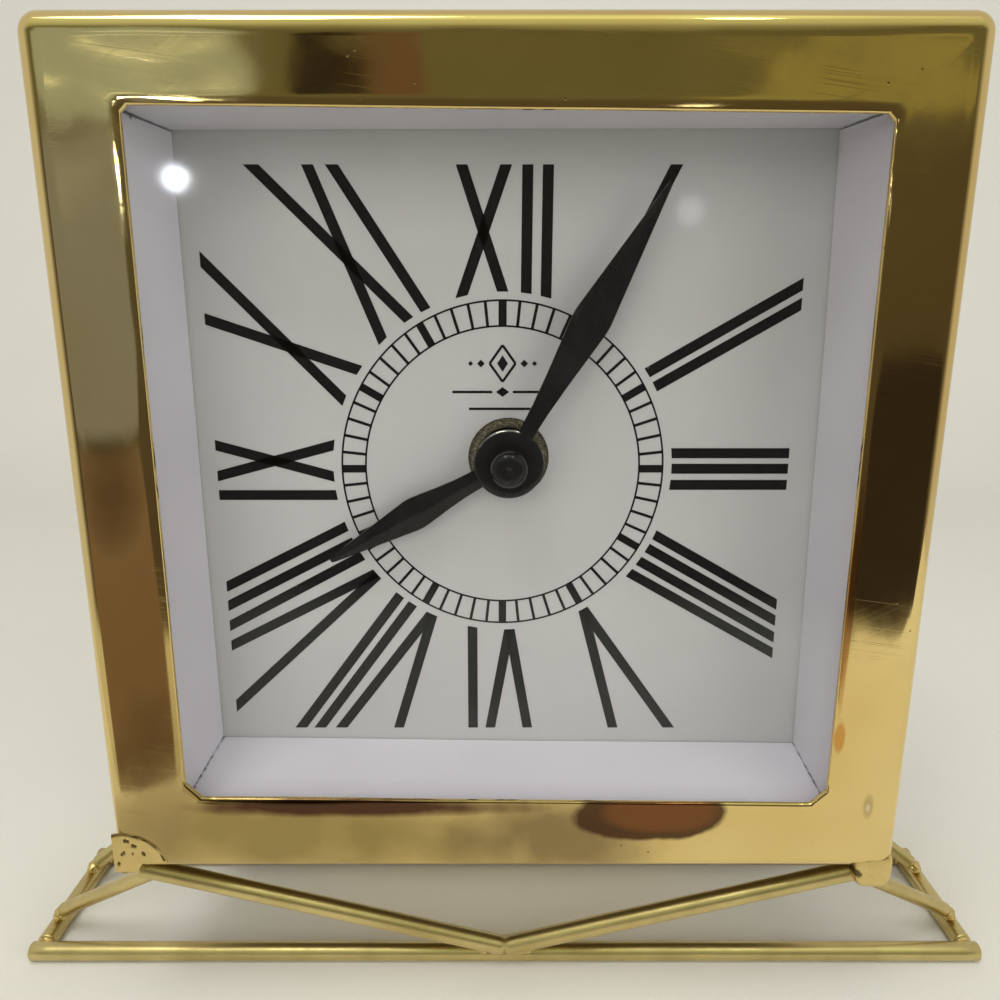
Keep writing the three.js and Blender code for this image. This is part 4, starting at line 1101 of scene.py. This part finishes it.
def make_joints():
    """Brazed joints where the struts meet the rails."""
    def build(bm):
        for sy in (1, -1):
            for sx in (1, -1):
                blob(bm, (sx * 3.0, -17.6 * sy, 3.9), (3.2, 1.2, 1.0), sx + sy * 3)
            blob(bm, (0.4, -17.9 * sy, 5.75), (2.2, 1.7, 1.6), sy * 7.7)
        for sx in (1, -1):
            for sy in (1, -1):
                blob(bm, (sx * 101.1, sy * 8.0, 5.0), (1.6, 1.9, 1.5), sx * 5.5 + sy)
                blob(bm, (sx * 101.6, sy * 14.3, 2.1), (1.9, 0.8, 1.8), sx * sy + 9)

    joints = new_object("brazed_joints", build, BRAZE, 60)
    soot_marks(joints, [(-3.4, 4.3, 0.8, 1.0), (2.6, 4.6, 0.6, 1.0), (-1.0, 4.4, 0.4, 1.0)])
    place(joints, "root", "braze")


# Run metal on the case's face. Each pit: across from the skin's centre, above the case's lower edge, radius.
PITS = [(1.9, 5.9, 0.42), (2.4, 5.7, 0.3), (0.0, 4.3, 0.36), (-0.4, 4.0, 0.3), (1.7, 4.1, 0.26),
        (3.7, 4.2, 0.36), (4.0, 3.9, 0.28), (-1.2, 1.9, 0.42), (0.5, 7.0, 0.36), (1.0, 6.8, 0.3),
        (5.0, 1.0, 0.3)]
SKIN_X = 73.8                     # the skin's centre, from the middle of the case
SKIN_UP = 0.1                     # and above the case's lower edge
SKIN_RADIUS = 8.3
SKIN_OUTER = 2.1                  # how far the skin reaches past its centre towards the case's side
SKIN_BACK = 0.25                  # how far it is sunk into the sheet
BARE_FOLD = 1.8                   # height left bare beside the strut's end


def skin_height(across, up, tag):
    """How proud the run metal stands of the case face, in millimetres."""
    reach = math.hypot(across, up - SKIN_UP)
    rim = SKIN_RADIUS * (1 + 0.035 * noise.noise(Vector((across * 0.4, up * 0.4, tag))))
    edge = max(0.0, min(1.0, (rim - reach) / 0.8))
    height = 0.03 + 0.13 * math.sin(edge * math.pi / 2) + 0.05 * noise.noise(Vector((across / 2.2, up / 2.2, tag)))
    for x, z, radius in PITS:
        apart = math.hypot(across - x, up - z) / radius
        height -= 0.12 * max(0.0, 1 - apart * apart * 0.6)
    return max(0.02, height) if edge > 0 else 0.02


def run_skin(bm, sx, sy, tag):
    """A thin round skin of metal that has run over the case's face at a lower corner."""
    columns, rows = 120, 40
    first, last = math.radians(13), math.acos(-SKIN_OUTER / SKIN_RADIUS)

    def point(across, up, proud):
        return bm.verts.new((sx * (SKIN_X - across) * MM, sy * (FRONT - proud * MM), CASE_LO.z + up * MM))

    rings = []
    for j in range(columns + 1):
        angle = first + (last - first) * j / columns
        across, top = SKIN_RADIUS * math.cos(angle), SKIN_RADIUS * math.sin(angle) + SKIN_UP
        bottom = BARE_FOLD * max(0.0, min(1.0, (across - 2.2) / 1.2))
        levels = [bottom + (top - bottom) * k / rows for k in range(rows + 1)]
        rings.append([point(across, up, skin_height(across, up, tag)) for up in levels]
                     + [point(across, top, -SKIN_BACK), point(across, bottom, -SKIN_BACK)])
    grid_faces(bm, rings)
    bm.faces.new(rings[0])
    bm.faces.new(rings[-1][::-1])


# Lumps round the strut's upper end at the front right: centre and size in millimetres, roughness, and how
# square each is.
SIDE_BEAD = ((70.3, -22.2, 27.7), (1.7, 1.6, 1.5), 0.12, 2.0)
LEFT_BEADS = [((74.2, -27.6, 32.4), (1.6, 2.2, 0.7), 0.12, 2.0),
              ((74.8, -25.4, 31.2), (1.4, 2.0, 1.6), 0.12, 2.0), SIDE_BEAD]
RIGHT_BEADS = [((72.3, -27.2, 32.7), (3.65, 2.78, 4.1), 0.02, 4.0), SIDE_BEAD]
RIGHT_SOOT = [(68.8, 32.0, 1.1, 1.0), (71.0, 30.3, 0.35, 0.9)]


def skin_soot(sx, tag):
    """Soot in the skin's pits and, broken up by noise, along its round edge."""
    bottom = CASE_LO.z / MM
    spots = [(sx * (SKIN_X - x), bottom + z, radius, 1.0) for x, z, radius in PITS]
    along, inset, width = 70, 8.0, 0.24
    for i in range(along):
        angle = 0.3 + 1.75 * i / along
        strength = 0.8 + 0.9 * noise.noise(Vector((i * 0.13, tag, 0.7)))
        spots.append((sx * (SKIN_X - inset * math.cos(angle)),
                      bottom + SKIN_UP + inset * math.sin(angle), width, strength))
    return spots


def make_lumps():
    """Brazing metal at the lower corners: run over the face on the left, a plain lug on the right."""
    for end, sy in (("front", 1), ("back", -1)):
        for hand, sx in (("left", -1), ("right", 1)):
            node = f"braze_{end}_{hand}"
            tag = sx * 2.3 + sy * 4.9

            def build(bm, sx=sx, sy=sy, tag=tag, hand=hand):
                if hand == "left":
                    run_skin(bm, sx, sy, tag)
                for (x, y, z), size, rough, square in LEFT_BEADS if hand == "left" else RIGHT_BEADS:
                    blob(bm, (sx * x, sy * y, z), size, tag + x, rough, square)

            lump = new_object(f"{node}_visual", build, BRAZE, 60)
            soot_marks(lump, skin_soot(sx, tag) if hand == "left" else RIGHT_SOOT)
            place(lump, "root", "braze", node)


# ---- back ----------------------------------------------------------------------------------------------------
def make_back():
    panel = refined("back_panel_visual", "back_panel", HARDBOARD, 0.35 * MM)
    place(panel, "root", "black_board", "back_panel")
    for level in ("top", "bottom"):
        for hand in ("left", "right"):
            wood = refined(f"corner_block_{level}_{hand}_visual", f"corner_block_{level}_{hand}", PINE, 0.3 * MM)
            place(wood, "root", "pine", f"corner_block_{level}_{hand}")
            make_screw(level, hand)


def make_screw(level, hand):
    """A round-headed screw with a cross recess and a coarse wood thread."""
    node = f"back_screw_{level}_{hand}"
    lo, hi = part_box(node)
    centre = (lo + hi) / 2
    head = hi.y - 1.3 * MM

    def build(bm):
        shank = [(0, lo.y), (0.35 * MM, lo.y + 0.5 * MM), (0.7 * MM, lo.y + 1.0 * MM)]
        turns = 7
        for i in range(turns):
            y = lo.y + 1.2 * MM + i * 0.9 * MM
            shank += [(0.72 * MM, y), (0.98 * MM, y + 0.4 * MM), (0.72 * MM, y + 0.75 * MM)]
        dome = [(0.9 * MM, head), (2.45 * MM, head), (2.58 * MM, head + 0.1 * MM), (2.55 * MM, head + 0.35 * MM),
                (2.3 * MM, head + 0.75 * MM), (1.8 * MM, head + 1.08 * MM), (1.2 * MM, head + 1.24 * MM),
                (0.6 * MM, head + 1.29 * MM), (0, head + 1.3 * MM)]
        lathe(bm, shank + dome, 48, centre)

    screw = new_object(f"{node}_visual", build, STEEL, 40)
    cross_recess(screw, centre, hi.y)
    place(screw, "root", "steel", node)


def cross_recess(screw, centre, top):
    """Cuts a tapered cross into the head."""
    bm = bmesh.new()
    for turn in (0.35, 0.35 + math.pi / 2):
        made = bmesh.ops.create_cube(bm, size=1)["verts"]
        for v in made:
            deep = v.co.y < 0
            long_half = (1.0 if deep else 1.5) * MM
            thin_half = (0.12 if deep else 0.3) * MM
            x = math.copysign(long_half, v.co.x)
            z = math.copysign(thin_half, v.co.z)
            y = top + (-0.95 if deep else 0.3) * MM
            v.co = Vector((centre.x + x * math.cos(turn) - z * math.sin(turn), y,
                           centre.z + x * math.sin(turn) + z * math.cos(turn)))
    mesh = bpy.data.meshes.new("cross")
    bm.to_mesh(mesh)
    bm.free()
    tool = bpy.data.objects.new("cross", mesh)
    bpy.context.scene.collection.objects.link(tool)
    cut = screw.modifiers.new("recess", "BOOLEAN")
    cut.object = tool
    cut.operation = "DIFFERENCE"
    cut.solver = "EXACT"
    cut.use_self = True
    depsgraph = bpy.context.evaluated_depsgraph_get()
    result = bpy.data.meshes.new_from_object(screw.evaluated_get(depsgraph))
    screw.modifiers.clear()
    screw.data = result
    bpy.data.objects.remove(tool)


def make_movement():
    for node in ("housing_front", "housing_back"):
        shell = refined(f"{node}_visual", node, BLACK_PLASTIC, 0.3 * MM)
        place(shell, "root", "black_plastic", node)
    for node in ("contact_negative", "contact_positive", "circuit_board", "stator"):
        slot = "circuit_green" if node == "circuit_board" else "steel"
        piece = refined(f"{node}_visual", node, CARRIED[slot], 0.12 * MM)
        place(piece, "root", slot, node)

    lo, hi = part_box("set_knob")
    centre = (lo + hi) / 2
    knob = [(1.3 * MM, lo.y), (3.0 * MM, lo.y), (3.0 * MM, lo.y + 1.0 * MM), (4.7 * MM, lo.y + 1.3 * MM),
            (4.95 * MM, lo.y + 1.6 * MM), (4.95 * MM, lo.y + 3.9 * MM), (4.7 * MM, lo.y + 4.3 * MM),
            (4.2 * MM, lo.y + 4.55 * MM), (3.2 * MM, lo.y + 4.55 * MM), (2.9 * MM, lo.y + 4.1 * MM),
            (0.8 * MM, lo.y + 4.0 * MM), (0.6 * MM, lo.y + 4.3 * MM), (0, lo.y + 4.35 * MM)]

    def knurl(angle, y):
        in_grip = lo.y + 1.4 * MM < y < lo.y + 4.2 * MM
        return 1 - (0.035 * (0.5 - 0.5 * math.cos(24 * angle)) if in_grip else 0)

    turned_piece("set_knob_visual", knob, BLACK_PLASTIC, "motion", "black_plastic", "set_knob", centre=centre,
                 segments=192, ripple=knurl)


def make_cell():
    lo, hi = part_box("battery")
    centre = (lo + hi) / 2
    radius = (hi.z - lo.z) / 2
    length = hi.x - lo.x
    profile = [(0, 0), (4.6, 0), (5.4, 0.1), (5.7, 0.35), (6.2, 0.35), (6.75, 0.15), (7.0, 0.35), (7.1, 0.75),
               (7.02, 1.1), (7.1, 1.4), (7.1, 46.4), (7.02, 46.7), (7.1, 47.0), (7.05, 47.5), (6.7, 47.95),
               (6.2, 48.1), (5.9, 47.9), (3.0, 47.9), (2.75, 48.1), (2.7, 49.5), (2.5, 49.75), (0, 49.8)]

    def build(bm):
        scale = radius / (7.1 * MM)
        rings = [(r * MM * scale, a * MM * length / (49.8 * MM)) for r, a in profile]
        lathe(bm, [(r, along) for r, along in rings], 72, Vector((0, 0, 0)))
        turn = Matrix.Rotation(-math.pi / 2, 4, "Z")
        for v in bm.verts:
            v.co = turn @ v.co + Vector((lo.x, centre.y, centre.z))

    cell = new_object("battery_visual", build, JACKET, 40)
    place(cell, "root", "cell_jacket", "battery")


def make_coil():
    """The motor's winding: a ribbed barrel between two white cheeks."""
    lo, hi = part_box("coil")
    centre = (lo + hi) / 2

    def build(bm):
        turns, steps = 60, 4
        profile = [(0.9 * MM, lo.x)]
        for i in range(turns * steps + 1):
            t = i / (turns * steps)
            swell = 2.32 + 0.1 * (0.5 - 0.5 * math.cos(2 * math.pi * t * turns))
            profile.append((swell * MM, lo.x + t * (hi.x - lo.x)))
        profile.append((0.9 * MM, hi.x))
        profile.append((0.9 * MM, lo.x))
        lathe(bm, profile, 40, Vector((0, 0, 0)))
        turn = Matrix.Rotation(-math.pi / 2, 4, "Z")
        for v in bm.verts:
            v.co = turn @ v.co + Vector((0, centre.y, centre.z))
        bmesh.ops.remove_doubles(bm, verts=bm.verts, dist=1e-7)

    coil = new_object("coil_visual", build, COPPER, 60)
    place(coil, "root", "copper_wire", "coil")


# ---- stage -----------------------------------------------------------------------------------------------------
def pale_cloth():
    n = Nodes("pale_cloth")
    warp = n.node("ShaderNodeMapping", {"Vector": n.coords, "Rotation": (0, 0, math.radians(38))}).outputs[0]
    weave = n.mix(0.55, n.node("ShaderNodeTexWave", {"Vector": warp, "Scale": 720.0, "Distortion": 1.2},
                               bands_direction="X").outputs["Fac"], n.noise(3600, 2))
    tone = n.noise(9, 3)
    n.bumps((weave, 0.00005))
    base = n.mix(tone, (0.70, 0.697, 0.645), (0.76, 0.757, 0.705))
    base = n.mix(n.math("MULTIPLY", weave, 0.5), base, (0.48, 0.47, 0.43))
    return n.finish(base_color=base, roughness=0.9)


# The near part of the cloth, seen mirrored in the brass, ends along a slanting front edge.
NEAR_CLOTH = [(-0.34, -0.02), (-0.116, -0.108), (0.17, -0.237), (0.40, -0.30), (0.40, 0.36), (-0.34, 0.36)]
FLOOR_HALF, FLOOR_NEAR, FLOOR_FAR, FLOOR_RISE, FLOOR_CURVE = 1.8, -1.6, 0.75, 1.5, 0.35


def make_floor():
    """A pale cloth that rises behind the object in one soft curve."""
    cloth = pale_cloth()

    def near(bm):
        bm.faces.new([bm.verts.new((x, y, 0)) for x, y in NEAR_CLOTH])

    def wide(bm):
        profile = [(FLOOR_NEAR, -0.00005)]
        profile += [(FLOOR_FAR - FLOOR_CURVE + FLOOR_CURVE * math.sin(a),
                     FLOOR_CURVE - FLOOR_CURVE * math.cos(a) - 0.00005)
                    for a in (math.pi / 2 * i / 16 for i in range(17))]
        profile.append((FLOOR_FAR, FLOOR_RISE))
        rows = [[bm.verts.new((x, y, z)) for x in (-FLOOR_HALF, FLOOR_HALF)] for y, z in profile]
        grid_faces(bm, rows, close_ring=False)

    for name, build, mirrored in (("floor_near", near, True), ("floor_wide", wide, False)):
        floor = new_object(name, build, cloth, 60)
        floor.visible_glossy = mirrored


def soft_light(name, at, aim, size, watts, colour=(1, 1, 1), shape="SQUARE", mirrored=False):
    data = bpy.data.lights.new(name, "AREA")
    data.shape = shape
    data.size = size
    data.energy = watts
    data.color = colour
    obj = bpy.data.objects.new(name, data)
    obj.location = at
    obj.rotation_euler = (Vector(aim) - Vector(at)).to_track_quat("-Z", "Y").to_euler()
    obj.visible_camera = False
    obj.visible_glossy = mirrored
    bpy.context.scene.collection.objects.link(obj)


# What the brass mirrors: azimuth and elevation ranges in degrees seen from the clock looking out
# (azimuth grows to the viewer's right), edge softness, colour.
ROOM = [
    (-30.0, -16.0, 9.8, 16.6, 0.35, (0.36, 0.42, 0.42)),
    (-24.0, -17.2, 13.6, 14.1, 0.9, (1.1, 1.2, 1.2)),
    (-24.0, -16.6, 11.1, 11.5, 0.8, (0.9, 0.95, 0.85)),
    (-12.4, -8.3, 11.2, 14.5, 0.3, (0.03, 0.024, 0.018)),
    (-8.3, -4.6, 11.0, 14.6, 0.5, (0.15, 0.09, 0.06)),
    (12.0, 32.0, 10.0, 12.4, 0.3, (0.30, 0.28, 0.12)),
    (-34.0, -20.0, -8.5, 9.5, 0.4, (0.23, 0.24, 0.27)),
    (-36.0, -19.0, -29.5, -9.5, 0.35, (0.20, 0.14, 0.10)),
    (20.6, 34.0, -19.3, -3.6, 0.2, (0.035, 0.027, 0.023)),
]


def make_world():
    """An even pale room; its mirror image has the darker shapes of a lived-in room in front of the clock."""
    world = bpy.data.worlds.new("room")
    bpy.context.scene.world = world
    world.use_nodes = True
    tree = world.node_tree
    links = tree.links

    def math_node(operation, a, b=0.0, c=None, clamp=False):
        made = tree.nodes.new("ShaderNodeMath")
        made.operation = operation
        made.use_clamp = clamp
        for socket, value in zip(made.inputs, (a, b, c)):
            if isinstance(value, bpy.types.NodeSocket):
                links.new(value, socket)
            elif value is not None:
                socket.default_value = value
        return made.outputs[0]

    coords = tree.nodes.new("ShaderNodeTexCoord").outputs["Generated"]
    split = tree.nodes.new("ShaderNodeSeparateXYZ")
    links.new(coords, split.inputs[0])
    wobble = tree.nodes.new("ShaderNodeTexNoise")
    links.new(coords, wobble.inputs["Vector"])
    wobble.inputs["Scale"].default_value = 16.0
    wobble.inputs["Detail"].default_value = 2.0
    parts = tree.nodes.new("ShaderNodeSeparateColor")
    links.new(wobble.outputs["Color"], parts.inputs[0])

    def degrees(angle, sway):
        shift = math_node("MULTIPLY", math_node("SUBTRACT", sway, 0.5), 2.0)
        return math_node("ADD", math_node("MULTIPLY", angle, 180 / math.pi), shift)

    azimuth = degrees(math_node("ARCTAN2", split.outputs["X"], math_node("MULTIPLY", split.outputs["Y"], -1.0)),
                      parts.outputs[0])
    elevation = degrees(math_node("ARCSINE", split.outputs["Z"]), parts.outputs[1])

    def blend(factor, under, over):
        made = tree.nodes.new("ShaderNodeMix")
        made.data_type = "RGBA"
        for socket, value in ((made.inputs[0], factor), (made.inputs[6], under), (made.inputs[7], over)):
            if isinstance(value, bpy.types.NodeSocket):
                links.new(value, socket)
            else:
                socket.default_value = (*value, 1)
        return made.outputs[2]

    ramp = tree.nodes.new("ShaderNodeValToRGB")
    links.new(math_node("MULTIPLY_ADD", elevation, 1 / 180, 0.5), ramp.inputs[0])
    elements = ramp.color_ramp.elements
    while len(elements) < len(HEIGHTS):
        elements.new(0.5)
    for element, (angle, colour) in zip(elements, HEIGHTS):
        element.position = angle / 180 + 0.5
        element.color = (*colour, 1)
    away = math_node("MULTIPLY_ADD", math_node("ABSOLUTE", azimuth), 1 / 25, -1.6, clamp=True)
    tone = blend(away, ramp.outputs[0], PALE)

    for left, right, low, high, softness, colour in ROOM:
        across = math_node("DIVIDE", math_node("SUBTRACT", azimuth, (left + right) / 2), (right - left) / 2)
        up = math_node("DIVIDE", math_node("SUBTRACT", elevation, (low + high) / 2), (high - low) / 2)
        reach = math_node("ADD", math_node("POWER", math_node("ABSOLUTE", across), 3.5),
                          math_node("POWER", math_node("ABSOLUTE", up), 3.5))
        edge = tree.nodes.new("ShaderNodeMapRange")
        edge.interpolation_type = "SMOOTHSTEP"
        edge.inputs["From Min"].default_value = 1 + softness
        edge.inputs["From Max"].default_value = 1 - softness
        links.new(reach, edge.inputs["Value"])
        tone = blend(edge.outputs[0], tone, colour)
    mirrored = tree.nodes.new("ShaderNodeLightPath").outputs["Is Glossy Ray"]
    background = tree.nodes["Background"]
    links.new(blend(mirrored, PALE, tone), background.inputs["Color"])


PALE = (0.62, 0.60, 0.55)
HEIGHTS = [(-90, (0.55, 0.54, 0.46)), (-21, (0.60, 0.585, 0.47)), (-19, (0.085, 0.065, 0.045)),
           (8, (0.10, 0.085, 0.055)), (10.5, (0.15, 0.14, 0.085)), (16.2, (0.14, 0.135, 0.075)),
           (20, (0.36, 0.37, 0.26)), (32, (0.58, 0.62, 0.44)), (48, (0.66, 0.72, 0.52)),
           (62, (1.15, 1.25, 0.92)), (90, (0.6, 0.64, 0.54))]


def make_lights():
    soft_light("overhead", (-0.1, -0.3, 1.1), (0, 0, 0.08), 0.5, 2.9, (1.0, 0.99, 0.97))
    soft_light("ceiling_lamp", (-0.35, -0.52, 1.26), (0, 0, 0.1), 0.45, 2.4, (1.0, 0.99, 0.98), mirrored=True)
    soft_light("left_window", (-0.75, -0.95, 0.36), (0, 0, 0.1), 0.28, 1.2, (1.0, 0.98, 0.95))
    soft_light("right_fill", (1.0, -0.9, 0.5), (0, 0, 0.1), 0.9, 5.8, (1.0, 0.99, 0.97))
    soft_light("front_fill", (-0.15, -1.0, 0.55), (0, 0, 0.05), 0.6, 2.2, (1.0, 0.98, 0.94))
    soft_light("brass_glow", (0, 0.002, 0.031), (0, -0.004, 0), 0.1, 0.012, (1.0, 0.82, 0.5))
    soft_light("lamp", (-0.712, -1.835, 0.388), (-0.053, -0.029, 0.16), 0.038, 0.37, (0.9, 0.96, 1.0), "DISK", True)
    for hand, x in (("left", -0.33), ("right", 0.3)):
        soft_light(f"{hand}_spot", (x, -0.62, 1.08), (0, 0, 0.109), 0.08, 0.45, (1.0, 0.99, 0.97), "DISK", True)
    soft_light("far_lamp", (0.415, -1.82, 0.32), (0.03, -0.029, 0.155), 0.06, 0.03, (1.0, 1.0, 1.0), "DISK", True)


def make_camera():
    data = bpy.data.cameras.new("camera")
    data.lens = 30.2
    data.sensor_width = 36
    data.clip_start = 0.01
    camera = bpy.data.objects.new("camera", data)
    camera.location = (-1.0 * MM, -171.5 * MM, 142.25 * MM)
    camera.rotation_euler = (math.radians(76.2), 0, 0)
    bpy.context.scene.collection.objects.link(camera)
    bpy.context.scene.camera = camera


# ---- everything ----------------------------------------------------------------------------------------------------
make_camera()
dress_carried_nodes()
make_case()
make_glass()
make_liners()
make_card()
make_print()
make_hub()
make_hands()
make_rails()
make_struts()
make_joints()
make_lumps()
make_back()
make_movement()
make_cell()
make_coil()
make_floor()
make_world()
make_lights()

bpy.context.scene.view_settings.view_transform = "Standard"
